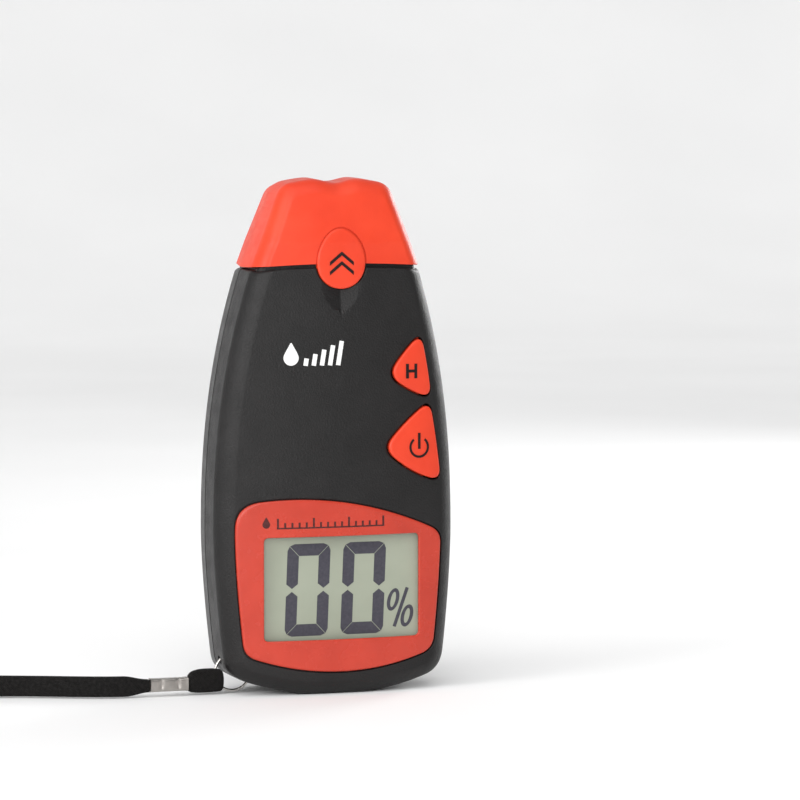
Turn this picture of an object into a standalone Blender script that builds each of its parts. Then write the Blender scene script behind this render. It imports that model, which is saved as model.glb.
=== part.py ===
"""Pin-type moisture meter with a pull-off pin cap, modelled as the pieces it comes apart into.

The meter stands upright on its rounded foot: +Z runs up to the pins, the display faces -Y and
+X is to the right of the display.  Sizes are in millimetres and become metres when a mesh is made.
The front of the case is crowned from side to side, so everything that lies in that face is first
made flat and is then bent back by the same crown.
"""
import math

import bmesh
import bpy
from mathutils import Matrix, Vector

MM = 0.001
GAP = 0.3                     # between neighbouring pieces

# ---- battery, a standard block ---------------------------------------------------------------
BATTERY_WIDTH = 26.5
BATTERY_DEPTH = 17.5
BATTERY_HEIGHT = 48.5

# ---- case ------------------------------------------------------------------------------------
SIDE_ROOM = 21.25             # between the battery and the case's widest line
CASE_WIDTH = BATTERY_WIDTH + 2 * SIDE_ROOM
CASE_TOP = 116.6              # height of the case's two top corners
TOP_ARCH = 0.9                # rise of the top edge between them
WIDEST_HEIGHT = 44.5
TOP_NARROWING = 10.3          # how much each side comes in at the top
TOP_NARROWING_POWER = 2.24
BOTTOM_NARROWING = 3.9
BOTTOM_NARROWING_POWER = 1.6
BOTTOM_RADIUS = 82.0
FOOT_HALF = 8.0               # half the flat that the meter stands on
FOOT_DEPTH_INSET = 1.1        # the sides come in this far before the foot starts to rise
BOTTOM_CORNER = 4.9           # distance that each corner's rounding takes from its edges
TOP_CORNER = 1.2

FRONT_FACE = -12.7            # the crown's foremost line
BACK_FACE = 13.0
PARTING = 2.5                 # back edge of the front shell
CROWN_RADIUS = 165.0
CROWN_FULL = -8.0             # in front of this, all of the crown applies
CROWN_STEP = 7.0              # the crown is made in strips this wide
FACE_INSET = 5.0              # width of the rounded band round the front face
FRONT_WALL = 2.0
BACK_WALL = 2.2
SIDE_WALL = 2.0

# ---- neck, cap and pins ----------------------------------------------------------------------
NECK_STEP = 1.7               # the neck lies this far inside the case and the cap
NECK_HEIGHT = 6.1             # above the case's top corners
NECK_TOP = CASE_TOP + NECK_HEIGHT
NECK_WALL = 1.6
CAP_WALL = 1.4
CAP_HALF_WIDTH = CASE_WIDTH / 2 - TOP_NARROWING + 0.15
CAP_TAPER = 0.383             # loss of half-width for each millimetre of height
CAP_HEIGHT = 23.7
CAP_TOP = CASE_TOP + CAP_HEIGHT
CAP_BUMP = 1.0
CAP_BUMP_PLACE = 6.2
CAP_SHOULDER_DROP = 1.5
CAP_TOP_CORNER = 3.0
CAP_FACE_INSET = 4.2
CAP_TOP_THICKNESS = 0.8       # the cap's depth at its top, as a share of the case's depth
CAP_TRAVEL = 45.0
PAD_CENTRE = CASE_TOP + 2.95
PAD_HALF_HEIGHT = 8.25
PAD_HALF_WIDTH = 6.85
PAD_EGG = 0.12                # how much narrower the pad's top is than its bottom
PAD_PROUD = 0.4
NOTCH_WIDTH = 6.4
NOTCH_HEIGHT = 1.2
NOTCH_CENTRE = CASE_TOP - 2.2
NOTCH_DEPTH = 0.7
SCOOP_LENGTH = 7.5            # from the bottom of the pad to the tip
SCOOP_HALF_WIDTH = 5.6
SCOOP_DEPTH = 2.4
BACKING_HALF_WIDTH = 7.4      # the thicker wall behind the pad's recess and the scoop
BACKING_WALL = 1.0

PIN_SPREAD = 22.0             # between the two pairs
PIN_PITCH = 7.5               # between the pins of a pair
PIN_RADIUS = 0.88
STUD_RADIUS = 1.3
PIN_LENGTH = 14.5             # above the plate
PIN_TIP = NECK_TOP + PIN_LENGTH
PIN_CONE = 5.2
PIN_ROW_CENTRE = -1.2
PIN_HEAD_RADIUS = 2.4
PIN_HEAD_HEIGHT = 1.8
NUT_FLATS = 5.5
NUT_HEIGHT = 2.4
PLATE_THICKNESS = 3.4
BAR_THICKNESS = 1.0
BAR_WIDTH = 5.6

# ---- display ---------------------------------------------------------------------------------
WINDOW_WIDTH = 44.5
WINDOW_HEIGHT = 28.4
WINDOW_X = 0.5
WINDOW_Z = 29.4
WINDOW_CORNER = 1.4
FRAME_THICKNESS = 1.0
FRAME_PROUD = 0.25
FRAME_BOTTOM = 6.3
FRAME_BOTTOM_RADIUS = 75.0
FRAME_PEAK = 53.9
FRAME_PEAK_X = -13.0
FRAME_TOP_RADIUS = 89.0
GLASS_BORDER = 2.0
GLASS_THICKNESS = 2.0
GLASS_FRONT = -9.6
STRIP_WIDTH = 2.2

# ---- board, switches and buttons -------------------------------------------------------------
BOARD_FRONT = -1.0
BOARD_THICKNESS = 1.6
BOARD_TOP = 99.0
BOARD_MARGIN = 3.2            # between the board and the inside of the case
BUTTON_PROUD = 0.8
BUTTON_TRAVEL = 0.8
BUTTON_DEPTH = 1.3            # how far the button's cap reaches behind the crown's foremost line
BUTTON_SKIRT = 1.0
SWITCH_SIZE = 6.0
SWITCH_HEIGHT = 3.0
PLUNGER_RADIUS = 1.6
PLUNGER_LENGTH = 2.8

# ---- battery bay and door --------------------------------------------------------------------
BATTERY_FOOT = 55.2
BAY_CLEARANCE = 0.5
BAY_WALL = 1.1
SNAP_HEIGHT = 4.2
DOOR_THICKNESS = 1.8
DOOR_OVERLAP = 0.9            # how far the door reaches past the inside of the bay
DOOR_HINGE_DROP = 2.0         # below the battery's foot
DOOR_HINGE_HEIGHT = BATTERY_FOOT - DOOR_HINGE_DROP
DOOR_EDGE_RADIUS = 0.8
DOOR_PIVOT_RADIUS = 0.5
DOOR_PIVOT_LENGTH = 1.2
PAD_FOAM = 0.8

# ---- fasteners -------------------------------------------------------------------------------
SCREW_RADIUS = 1.2
SCREW_HEAD_RADIUS = 2.1
SCREW_HEAD_HEIGHT = 1.6
SCREW_LENGTH = 15.0
BOSS_RADIUS = 2.8
BACK_BOSS_RADIUS = 3.3
LOWER_SCREW_X = 16.5
LOWER_SCREW_Z = 8.6
UPPER_SCREW_DROP = 13.0       # below the case's top corners
UPPER_SCREW_EDGE = 6.3        # in from the case's side
BOARD_SCREW_X = 20.0
BOARD_SCREW_Z = 50.2
BOARD_SCREW_LENGTH = 7.0

# ---- lanyard ---------------------------------------------------------------------------------
RING_RADIUS = 5.0
RING_WIRE = 0.4
RING_EDGE = 6.5               # in from the case's widest line
RING_X = RING_EDGE - CASE_WIDTH / 2
RING_Y = -1.5
RING_CLEARANCE = 0.5          # between the ring and the ground
RING_Z = RING_RADIUS + RING_WIRE + RING_CLEARANCE
RING_TUNNEL = 1.1
BAND_WIDTH = 5.4
BAND_THICKNESS = 1.0
BAND_BOTTOM = 0.5
CRIMP_REACH = 7.9             # from the ring's left side to the crimp
CRIMP_RIGHT = RING_X - RING_RADIUS - CRIMP_REACH
CRIMP_LENGTH = 10.6
CRIMP_HEIGHT = 3.8
CRIMP_THICKNESS = 3.2
CRIMP_Z = 3.3

LEAD_DIAMETER = 1.3
LEAD_PITCH = 1.75

ROUND = 16                    # sides of a small round piece

COLOURS = {
    "case_black": ((0.030, 0.029, 0.030), 0.55, 0.0),
    "inner_black": ((0.020, 0.020, 0.021), 0.60, 0.0),
    "signal_red": ((0.86, 0.075, 0.025), 0.38, 0.0),
    "frame_red": ((0.62, 0.055, 0.035), 0.30, 0.0),
    "nickel": ((0.62, 0.60, 0.57), 0.25, 1.0),
    "brass": ((0.70, 0.55, 0.30), 0.35, 1.0),
    "glass_grey": ((0.36, 0.40, 0.33), 0.20, 0.0),
    "white_plastic": ((0.75, 0.75, 0.72), 0.50, 0.0),
    "silicone": ((0.55, 0.30, 0.28), 0.70, 0.0),
    "board_green": ((0.02, 0.17, 0.06), 0.45, 0.0),
    "battery_wrap": ((0.09, 0.09, 0.10), 0.35, 0.0),
    "lead_red": ((0.60, 0.02, 0.02), 0.45, 0.0),
    "lead_black": ((0.02, 0.02, 0.02), 0.45, 0.0),
    "foam": ((0.06, 0.06, 0.06), 0.95, 0.0),
    "steel": ((0.50, 0.50, 0.51), 0.30, 1.0),
    "webbing": ((0.012, 0.012, 0.013), 0.85, 0.0),
}


# ==== making meshes ===========================================================================
def material(slot):
    found = bpy.data.materials.get(slot)
    if found:
        return found
    colour, roughness, metallic = COLOURS[slot]
    made = bpy.data.materials.new(slot)
    made.use_nodes = True
    surface = made.node_tree.nodes["Principled BSDF"]
    surface.inputs["Base Color"].default_value = (*colour, 1.0)
    surface.inputs["Roughness"].default_value = roughness
    surface.inputs["Metallic"].default_value = metallic
    return made


def add_object(name, mesh_data, slot):
    """An object from a bmesh whose points are in millimetres."""
    bmesh.ops.remove_doubles(mesh_data, verts=mesh_data.verts, dist=0.0001)
    bmesh.ops.recalc_face_normals(mesh_data, faces=mesh_data.faces)
    bmesh.ops.scale(mesh_data, vec=(MM, MM, MM), verts=mesh_data.verts)
    mesh = bpy.data.meshes.new(name)
    mesh_data.to_mesh(mesh)
    mesh_data.free()
    mesh.materials.append(material(slot))
    made = bpy.data.objects.new(name, mesh)
    bpy.context.scene.collection.objects.link(made)
    return made


def loft(name, rings, slot):
    """A closed solid through rings of equally many points."""
    shape = bmesh.new()
    rows = [[shape.verts.new(point) for point in ring] for ring in rings]
    count = len(rows[0])
    for low, high in zip(rows, rows[1:]):
        for i in range(count):
            j = (i + 1) % count
            shape.faces.new((low[i], low[j], high[j], high[i]))
    shape.faces.new(rows[0])
    shape.faces.new(rows[-1])
    return add_object(name, shape, slot)


def slab(name, outline, y_front, y_back, slot):
    """An outline of (x, z) points, extruded along Y."""
    return loft(name, [[(x, y, z) for x, z in outline] for y in (y_front, y_back)], slot)


def block(name, x, y, z, slot, rounding=0.0):
    """A box between the pairs x, y and z, with rounded edges along Y."""
    corners = [(x[0], z[0]), (x[1], z[0]), (x[1], z[1]), (x[0], z[1])]
    return slab(name, rounded_polygon(corners, rounding) if rounding else corners, y[0], y[1], slot)


def turned(name, profile, place, axis, slot, sides=ROUND):
    """A profile of (radius, distance) points, turned about an axis through place."""
    shape = bmesh.new()
    turn = Vector((0, 0, 1)).rotation_difference(Vector(axis)).to_matrix()
    rows = []
    for radius, height in profile:
        if radius == 0:
            rows.append([shape.verts.new(turn @ Vector((0, 0, height)) + Vector(place))])
            continue
        angles = [2 * math.pi * (i + 0.5) / sides for i in range(sides)]
        rows.append([shape.verts.new(turn @ Vector((radius * math.cos(a), radius * math.sin(a), height))
                                     + Vector(place)) for a in angles])
    for low, high in zip(rows, rows[1:]):
        for i in range(sides):
            j = (i + 1) % sides
            corners = [low[i % len(low)], low[j % len(low)], high[j % len(high)], high[i % len(high)]]
            shape.faces.new(list(dict.fromkeys(corners)))
    for row in (rows[0], rows[-1]):
        if len(row) > 1:
            shape.faces.new(row)
    return add_object(name, shape, slot)


def rod(name, place, axis, radius, start, end, slot="inner_black", sides=ROUND):
    return turned(name, [(radius, start), (radius, end)], place, axis, slot, sides)


def ring_solid(name, place, radius, wire, slot, steps=40, sides=10):
    """A torus whose plane is parallel to XZ."""
    shape = bmesh.new()
    rows = []
    for i in range(steps):
        turn = 2 * math.pi * i / steps
        row = []
        for k in range(sides):
            roll = 2 * math.pi * (k + 0.5) / sides
            reach = radius + wire * math.cos(roll)
            row.append(shape.verts.new((place[0] + reach * math.cos(turn),
                                        place[1] + wire * math.sin(roll),
                                        place[2] + reach * math.sin(turn))))
        rows.append(row)
    for i in range(steps):
        low, high = rows[i], rows[(i + 1) % steps]
        for k in range(sides):
            j = (k + 1) % sides
            shape.faces.new((low[k], low[j], high[j], high[k]))
    return add_object(name, shape, slot)


def combine(target, tool, operation):
    """Apply a Boolean with a tool, which is used up."""
    step = target.modifiers.new(operation, "BOOLEAN")
    step.operation = operation
    step.solver = "EXACT"
    step.object = tool
    bpy.context.view_layer.update()
    graph = bpy.context.evaluated_depsgraph_get()
    result = bpy.data.meshes.new_from_object(target.evaluated_get(graph))
    target.modifiers.clear()
    target.data = result
    bpy.data.objects.remove(tool)


def cut(target, *tools):
    for tool in tools:
        combine(target, tool, "DIFFERENCE")


def join(target, *tools):
    for tool in tools:
        combine(target, tool, "UNION")


def finish_mesh(target, angle=35.0):
    """Weld what a Boolean left apart, and shade the round parts smooth."""
    shape = bmesh.new()
    shape.from_mesh(target.data)
    bmesh.ops.remove_doubles(shape, verts=shape.verts, dist=0.002 * MM)
    bmesh.ops.dissolve_degenerate(shape, edges=shape.edges, dist=0.001 * MM)
    bmesh.ops.triangulate(shape, faces=[face for face in shape.faces if len(face.verts) > 4])
    shape.to_mesh(target.data)
    shape.free()
    target.data.shade_smooth()
    target.data.set_sharp_from_angle(angle=math.radians(angle))


def crown_at(x):
    return x * x / (2 * CROWN_RADIUS)


def crown(target):
    """Bend a flat piece back to the sides, all of it in front and none of it at the parting."""
    shape = bmesh.new()
    shape.from_mesh(target.data)
    bmesh.ops.triangulate(shape, faces=shape.faces)
    strips = int(CASE_WIDTH / 2 / CROWN_STEP)
    for i in range(-strips, strips + 1):
        whole = list(shape.verts) + list(shape.edges) + list(shape.faces)
        bmesh.ops.bisect_plane(shape, geom=whole, dist=0.0005 * MM,
                               plane_co=(i * CROWN_STEP * MM, 0, 0), plane_no=(1, 0, 0))
    bmesh.ops.triangulate(shape, faces=shape.faces)
    for vert in shape.verts:
        share = (PARTING - vert.co.y / MM) / (PARTING - CROWN_FULL)
        vert.co.y += crown_at(vert.co.x / MM) * MM * min(max(share, 0.0), 1.0)
    shape.to_mesh(target.data)
    shape.free()


# ==== outlines ================================================================================
def rounded_loop(edges, corner_steps=4):
    """A closed outline from edges, each (curve, start, end, steps, rounding at its end).

    A curve turns its parameter into (x, z), and each edge ends where the next one starts.
    """
    points = []
    for i, (curve, start, end, steps, rounding) in enumerate(edges):
        before = edges[i - 1][4]
        sign = math.copysign(1.0, end - start)
        first, last = start + sign * before, end - sign * rounding
        points += [curve(first + (last - first) * k / steps) for k in range(steps + 1)]
        after, next_start, next_end = edges[(i + 1) % len(edges)][:3]
        leave = Vector(points[-1])
        corner = Vector(curve(end))
        arrive = Vector(after(next_start + math.copysign(rounding, next_end - next_start)))
        for k in range(1, corner_steps):
            t = k / corner_steps
            point = leave * (1 - t) ** 2 + corner * 2 * t * (1 - t) + arrive * t * t
            points.append(tuple(point))
    return points


def rounded_polygon(corners, rounding, bulges=None, steps=1):
    """A polygon with rounded corners, whose sides may bulge outwards; corners run anticlockwise."""
    edges = []
    for i, start in enumerate(corners):
        end = corners[(i + 1) % len(corners)]
        side = Vector(end) - Vector(start)
        out = Vector((side.y, -side.x)).normalized()
        bulge = bulges[i] if bulges else 0.0

        def curve(u, start=start, side=side, out=out, bulge=bulge):
            t = u / side.length
            return tuple(Vector(start) + side * t + out * (4 * bulge * t * (1 - t)))

        edges.append((curve, 0.0, side.length, steps, rounding))
    return rounded_loop(edges)


def case_side(z):
    """The case's half-width at a height."""
    if z > WIDEST_HEIGHT:
        share = (z - WIDEST_HEIGHT) / (CASE_TOP - WIDEST_HEIGHT)
        return CASE_WIDTH / 2 - TOP_NARROWING * share ** TOP_NARROWING_POWER
    share = (WIDEST_HEIGHT - z) / WIDEST_HEIGHT
    return CASE_WIDTH / 2 - BOTTOM_NARROWING * share ** BOTTOM_NARROWING_POWER


def arc_rise(x, radius, flat=0.0):
    """How far an arc has risen at a distance from its middle, beyond a flat part."""
    start = radius - math.sqrt(radius ** 2 - flat ** 2)
    return max(radius - math.sqrt(radius ** 2 - x * x) - start, 0.0)


def case_bottom(x):
    return arc_rise(x, BOTTOM_RADIUS, FOOT_HALF)


def case_top(x):
    """The height of the case's top edge, arched between the corners."""
    return CASE_TOP + TOP_ARCH * (1 - (x / case_side(CASE_TOP)) ** 2)


def crossing(side, level, guess):
    """Where a side, x of z, meets a level, z of x."""
    x = side(guess)
    for _ in range(12):
        x = side(level(x))
    return x, level(x)


def mirrored_loop(side, bottom, top, bottom_rounding, top_rounding, steps):
    """An outline that is the same on both sides, from its bottom, side and top curves."""
    x_low, z_low = crossing(side, bottom, bottom(0))
    x_high, z_high = crossing(side, top, top(0))
    across, up, over = steps
    edges = [(lambda x: (x, bottom(x)), -x_low, x_low, across, bottom_rounding),
             (lambda z: (side(z), z), z_low, z_high, up, top_rounding),
             (lambda x: (x, top(x)), x_high, -x_high, over, top_rounding),
             (lambda z: (-side(z), z), z_high, z_low, up, bottom_rounding)]
    return rounded_loop(edges)


def case_outline(inset, top_inset=None):
    """The case's outline seen from the front, moved inwards; the foot stays flat for longer."""
    lower_top = min(inset, 0.5) if top_inset is None else top_inset
    raised_foot = max(inset - FOOT_DEPTH_INSET, 0.0) if top_inset is None else top_inset
    return mirrored_loop(lambda z: case_side(z) - inset,
                         lambda x: case_bottom(x) + raised_foot,
                         lambda x: case_top(x) - lower_top,
                         max(BOTTOM_CORNER - 0.55 * inset, 1.5), TOP_CORNER, (14, 12, 8))


def cap_side(z):
    """The cap's half-width at a height."""
    return CAP_HALF_WIDTH - CAP_TAPER * (z - CASE_TOP - GAP)


def neck_side(z):
    return cap_side(z) - NECK_STEP


def cap_crest(x):
    """The cap's top edge: a dip between two low bumps, falling off to the shoulders."""
    reach = abs(x)
    if reach < CAP_BUMP_PLACE:
        return CAP_TOP + CAP_BUMP * math.sin(math.pi / 2 * reach / CAP_BUMP_PLACE) ** 2
    share = (reach - CAP_BUMP_PLACE) / (cap_side(CAP_TOP) - CAP_BUMP_PLACE)
    return CAP_TOP + CAP_BUMP - CAP_SHOULDER_DROP * share ** 1.5


def cap_outline(inset):
    return mirrored_loop(lambda z: cap_side(z) - inset,
                         lambda x: case_top(x) + GAP + min(inset, 0.4),
                         lambda x: cap_crest(x) - inset,
                         0.4, max(CAP_TOP_CORNER - 0.4 * inset, 0.8), (8, 4, 18))


def neck_outline(grow, low, high, draw=0.0):
    """The neck's outline between two heights, moved outwards by grow and inwards by draw."""
    return mirrored_loop(lambda z: neck_side(z) + grow - draw, lambda x: low, lambda x: high,
                         0.4, 1.0, (8, 3, 8))


def pad_outline(grow, steps=28):
    """The egg shape of the cap's grip pad."""
    points = []
    for i in range(steps):
        angle = 2 * math.pi * i / steps
        half = PAD_HALF_WIDTH * (1 - PAD_EGG * math.sin(angle)) + grow
        points.append((half * math.cos(angle),
                       PAD_CENTRE + (PAD_HALF_HEIGHT + grow) * math.sin(angle)))
    return points


def window_outline(border):
    half_width, half_height = WINDOW_WIDTH / 2 + border, WINDOW_HEIGHT / 2 + border
    corners = [(WINDOW_X - half_width, WINDOW_Z - half_height),
               (WINDOW_X + half_width, WINDOW_Z - half_height),
               (WINDOW_X + half_width, WINDOW_Z + half_height),
               (WINDOW_X - half_width, WINDOW_Z + half_height)]
    return rounded_polygon(corners, WINDOW_CORNER, steps=1)


def frame_outline(grow):
    """The display frame: its sides and bottom follow the case, its top is an arc that falls to +X."""
    def side(z):
        return case_side(z) - FACE_INSET + grow

    def bottom(x):
        return FRAME_BOTTOM + arc_rise(x, FRAME_BOTTOM_RADIUS) - grow

    def top(x):
        return FRAME_PEAK - (x - FRAME_PEAK_X) ** 2 / (2 * FRAME_TOP_RADIUS) + grow

    x_low, z_low = crossing(side, bottom, 10.0)
    x_right, z_right = crossing(side, top, 40.0)
    x_left, z_left = crossing(lambda z: -side(z), top, 50.0)
    edges = [(lambda x: (x, bottom(x)), -x_low, x_low, 10, 3.2),
             (lambda z: (side(z), z), z_low, z_right, 6, 3.0),
             (lambda x: (x, top(x)), x_right, x_left, 12, 6.5),
             (lambda z: (-side(z), z), z_left, z_low, 6, 3.2)]
    return rounded_loop(edges)


CASE_EDGE = CASE_WIDTH / 2
HOLD_CORNERS = [(CASE_EDGE - 20.6, 87.5), (CASE_EDGE - 8.1, 80.9), (CASE_EDGE - 11.2, 98.4)]
HOLD_BULGES = [0.9, 0.3, 0.6]
POWER_CORNERS = [(CASE_EDGE - 22.0, 67.3), (CASE_EDGE - 5.2, 57.9), (CASE_EDGE - 8.5, 79.8)]
POWER_BULGES = [1.5, 0.3, 0.8]
BUTTON_CORNER = 2.9


def button_outline(corners, bulges, grow):
    """A button's rounded triangle, moved outwards from its middle by grow."""
    middle = sum((Vector(c) for c in corners), Vector((0, 0))) / 3
    moved = [tuple(Vector(c) + (Vector(c) - middle).normalized() * 2 * grow) for c in corners]
    return rounded_polygon(moved, BUTTON_CORNER, bulges, steps=5)


# ==== case ====================================================================================
def levels(rows, outline):
    """Rings of an outline, one for each row (y, inset)."""
    return [[(x, y, z) for x, z in outline(inset)] for y, inset in rows]


def case_screws():
    """The name and place of each case screw."""
    upper_z = CASE_TOP - UPPER_SCREW_DROP
    upper_x = case_side(upper_z) - UPPER_SCREW_EDGE
    places = [(-LOWER_SCREW_X, LOWER_SCREW_Z), (LOWER_SCREW_X, LOWER_SCREW_Z), (-upper_x, upper_z), (upper_x, upper_z)]
    return {f"case_screw_{i}": place for i, place in enumerate(places, 1)}


def board_screws():
    return {"board_screw_1": (-BOARD_SCREW_X, BOARD_SCREW_Z), "board_screw_2": (BOARD_SCREW_X, BOARD_SCREW_Z)}


def front_levels():
    return [(PARTING, 0.0), (CROWN_FULL, 0.25), (FRONT_FACE + 2.2, 1.5),
            (FRONT_FACE + 0.7, 3.4), (FRONT_FACE, FACE_INSET)]


def front_void_levels():
    inner = FRONT_FACE + FRONT_WALL
    return [(PARTING + 1, SIDE_WALL), (CROWN_FULL + 0.6, SIDE_WALL + 0.25),
            (inner + 1.2, SIDE_WALL + 1.4), (inner, FACE_INSET - 0.4)]


def back_levels():
    return [(PARTING + GAP, 0.0), (BACK_FACE - 2.5, 1.1), (BACK_FACE - 0.7, 1.9), (BACK_FACE, 3.3)]


def back_void_levels():
    inner = BACK_FACE - BACK_WALL
    return [(PARTING + GAP - 1, SIDE_WALL), (inner - 1.0, SIDE_WALL + 1.1), (inner, SIDE_WALL + 2.0)]


def front_neck(name, grow, low, high, front_grow, slot="case_black"):
    """The part of the neck in front of the parting, or the room for it when it grows."""
    face = FRONT_FACE + NECK_STEP - front_grow
    rows = [(PARTING + (1 if grow < 0 else 0), 0.0), (face + 1.8, 0.2), (face + 0.5, 1.0), (face, 2.2)]
    return loft(name, levels(rows, lambda draw: neck_outline(grow, low, high, draw)), slot)


def back_neck(name, grow, low, high, back_grow, slot="case_black"):
    face = BACK_FACE - NECK_STEP + back_grow
    start = PARTING + GAP - (1 if grow < 0 else 0)
    rows = [(start, 0.0), (face - 1.4, 0.6), (face - 0.4, 1.2), (face, 2.2)]
    return loft(name, levels(rows, lambda draw: neck_outline(grow, low, high, draw)), slot)


def button_hole(corners, bulges):
    return slab("hole", button_outline(corners, bulges, GAP), FRONT_FACE - 2, CROWN_FULL, "inner_black")


def thumb_scoop():
    """A pointed valley of two facets, from the pad's recess down to a tip."""
    pad_bottom = PAD_CENTRE - PAD_HALF_HEIGHT
    tip = pad_bottom - SCOOP_LENGTH
    top, knee = pad_bottom + 2.5, tip + 0.42 * SCOOP_LENGTH
    above = FRONT_FACE - 1.0
    rings = []
    for z, half, depth in ((top, SCOOP_HALF_WIDTH, SCOOP_DEPTH),
                           (knee, SCOOP_HALF_WIDTH * 0.86, SCOOP_DEPTH * 0.7), (tip, 0.4, 0.05)):
        flare = half * (1 + 1.0 / depth) if depth > 0.5 else half + 0.4
        rings.append([(-flare, above, z), (flare, above, z), (0.0, FRONT_FACE + depth, z)])
    return loft("scoop", rings, "inner_black")


def ring_corner(grow):
    """The corner of the front shell that stays solid round the ring's tunnel, or the room for it."""
    reach = RING_RADIUS + RING_TUNNEL + grow
    return block("corner", (RING_X - reach - 4, RING_X + reach + 0.7), (RING_Y - 4 - grow, PARTING + 2),
                 (-1, RING_Z + reach + 0.6), "case_black")


def make_front_shell():
    shell = loft("front_shell", levels(front_levels(), case_outline), "case_black")
    join(shell, front_neck("neck", 0.0, CASE_TOP - 6, NECK_TOP, 0.0))

    room = loft("room", levels(front_void_levels(), lambda inset: case_outline(inset, SIDE_WALL)), "case_black")
    join(room, front_neck("neck_room", -NECK_WALL, CASE_TOP - 10, NECK_TOP + 2, -NECK_WALL))
    pad_bottom = PAD_CENTRE - PAD_HALF_HEIGHT
    for low, wall in ((pad_bottom - SCOOP_LENGTH - 0.8, BACKING_WALL), (pad_bottom - 0.3, BACKING_WALL + 0.8)):
        cut(room, block("scoop_backing", (-BACKING_HALF_WIDTH, BACKING_HALF_WIDTH),
                        (FRONT_FACE, FRONT_FACE + NECK_STEP + wall), (low, CASE_TOP + 0.5), "case_black"))
    for x, z in case_screws().values():
        cut(room, rod("boss", (x, 0, z), (0, 1, 0), BOSS_RADIUS, FRONT_FACE, PARTING + 2))
    for x, z in board_screws().values():
        cut(room, rod("boss", (x, 0, z), (0, 1, 0), BOSS_RADIUS - 0.5, FRONT_FACE, BOARD_FRONT - GAP))
    cut(room, ring_corner(0.0))
    cut(shell, room)

    cut(shell,
        slab("pocket", frame_outline(GAP), FRONT_FACE - 2,
             FRONT_FACE - FRAME_PROUD + FRAME_THICKNESS + GAP, "case_black"),
        slab("opening", window_outline(GLASS_BORDER + GAP), FRONT_FACE - 3, CROWN_FULL + 1, "case_black"),
        button_hole(HOLD_CORNERS, HOLD_BULGES),
        button_hole(POWER_CORNERS, POWER_BULGES),
        slab("recess", pad_outline(GAP), FRONT_FACE - 3, FRONT_FACE + NECK_STEP, "case_black"),
        thumb_scoop(),
        block("notch", (-NOTCH_WIDTH / 2, NOTCH_WIDTH / 2),
              (FRONT_FACE - 1, FRONT_FACE + NECK_STEP + NOTCH_DEPTH),
              (NOTCH_CENTRE - NOTCH_HEIGHT / 2, NOTCH_CENTRE + NOTCH_HEIGHT / 2), "case_black", 0.5))
    crown(shell)
    for x, z in case_screws().values():
        cut(shell, rod("pilot", (x, 0, z), (0, 1, 0), SCREW_RADIUS + GAP, screw_tip() - GAP, PARTING + 2))
    for x, z in board_screws().values():
        cut(shell,
            rod("boss_end", (x, 0, z), (0, 1, 0), BOSS_RADIUS, BOARD_FRONT - GAP, PARTING),
            rod("pilot", (x, 0, z), (0, 1, 0), SCREW_RADIUS + GAP, board_screw_tip() - GAP, PARTING))
    cut(shell, ring_solid("tunnel", (RING_X, RING_Y, RING_Z), RING_RADIUS, RING_TUNNEL, "case_black", 36, 10))
    finish_mesh(shell)
    return shell


def door_half_width():
    return BATTERY_WIDTH / 2 + BAY_CLEARANCE + DOOR_OVERLAP


def bay_top():
    return BATTERY_FOOT + BATTERY_HEIGHT + SNAP_HEIGHT + 3 * GAP + BAY_CLEARANCE


def door_axis_y():
    return BACK_FACE - DOOR_THICKNESS + DOOR_EDGE_RADIUS


def door_top():
    return bay_top() + DOOR_OVERLAP


def make_back_shell():
    shell = loft("back_shell", levels(back_levels(), case_outline), "case_black")
    join(shell, back_neck("neck", 0.0, CASE_TOP - 6, NECK_TOP, 0.0))

    room = loft("room", levels(back_void_levels(), lambda inset: case_outline(inset, SIDE_WALL)), "case_black")
    join(room, back_neck("neck_room", -NECK_WALL, CASE_TOP - 10, NECK_TOP + 2, -NECK_WALL))
    for x, z in case_screws().values():
        cut(room, rod("boss", (x, 0, z), (0, 1, 0), BACK_BOSS_RADIUS, 0, BACK_FACE))
    cut(shell, room)

    half = door_half_width() + GAP
    hinge_room = DOOR_EDGE_RADIUS + GAP
    cut(shell,
        block("door_opening", (-half, half), (0, BACK_FACE + 2),
              (DOOR_HINGE_HEIGHT - hinge_room, door_top() + GAP), "case_black"),
        rod("pivot_room", (0, door_axis_y(), DOOR_HINGE_HEIGHT), (1, 0, 0), DOOR_PIVOT_RADIUS + GAP - 0.05,
            -half - DOOR_PIVOT_LENGTH, half + DOOR_PIVOT_LENGTH),
        block("finger_notch", (-6, 6), (BACK_FACE - 0.9, BACK_FACE + 1),
              (door_top() - 1, door_top() + 2.2), "case_black", 1.0))
    for x, z in case_screws().values():
        cut(shell,
            rod("head_room", (x, 0, z), (0, 1, 0), SCREW_HEAD_RADIUS + GAP,
                screw_seat() - GAP, BACK_FACE + 1),
            rod("shank_room", (x, 0, z), (0, 1, 0), SCREW_RADIUS + GAP, 0, BACK_FACE))
    finish_mesh(shell)
    return shell


# ==== neck, pins and cap ======================================================================
def plate_bottom():
    return NECK_TOP - PLATE_THICKNESS


def pin_places():
    for x in (-PIN_SPREAD / 2, PIN_SPREAD / 2):
        for y in (-PIN_PITCH / 2, PIN_PITCH / 2):
            yield x, PIN_ROW_CENTRE + y


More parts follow.
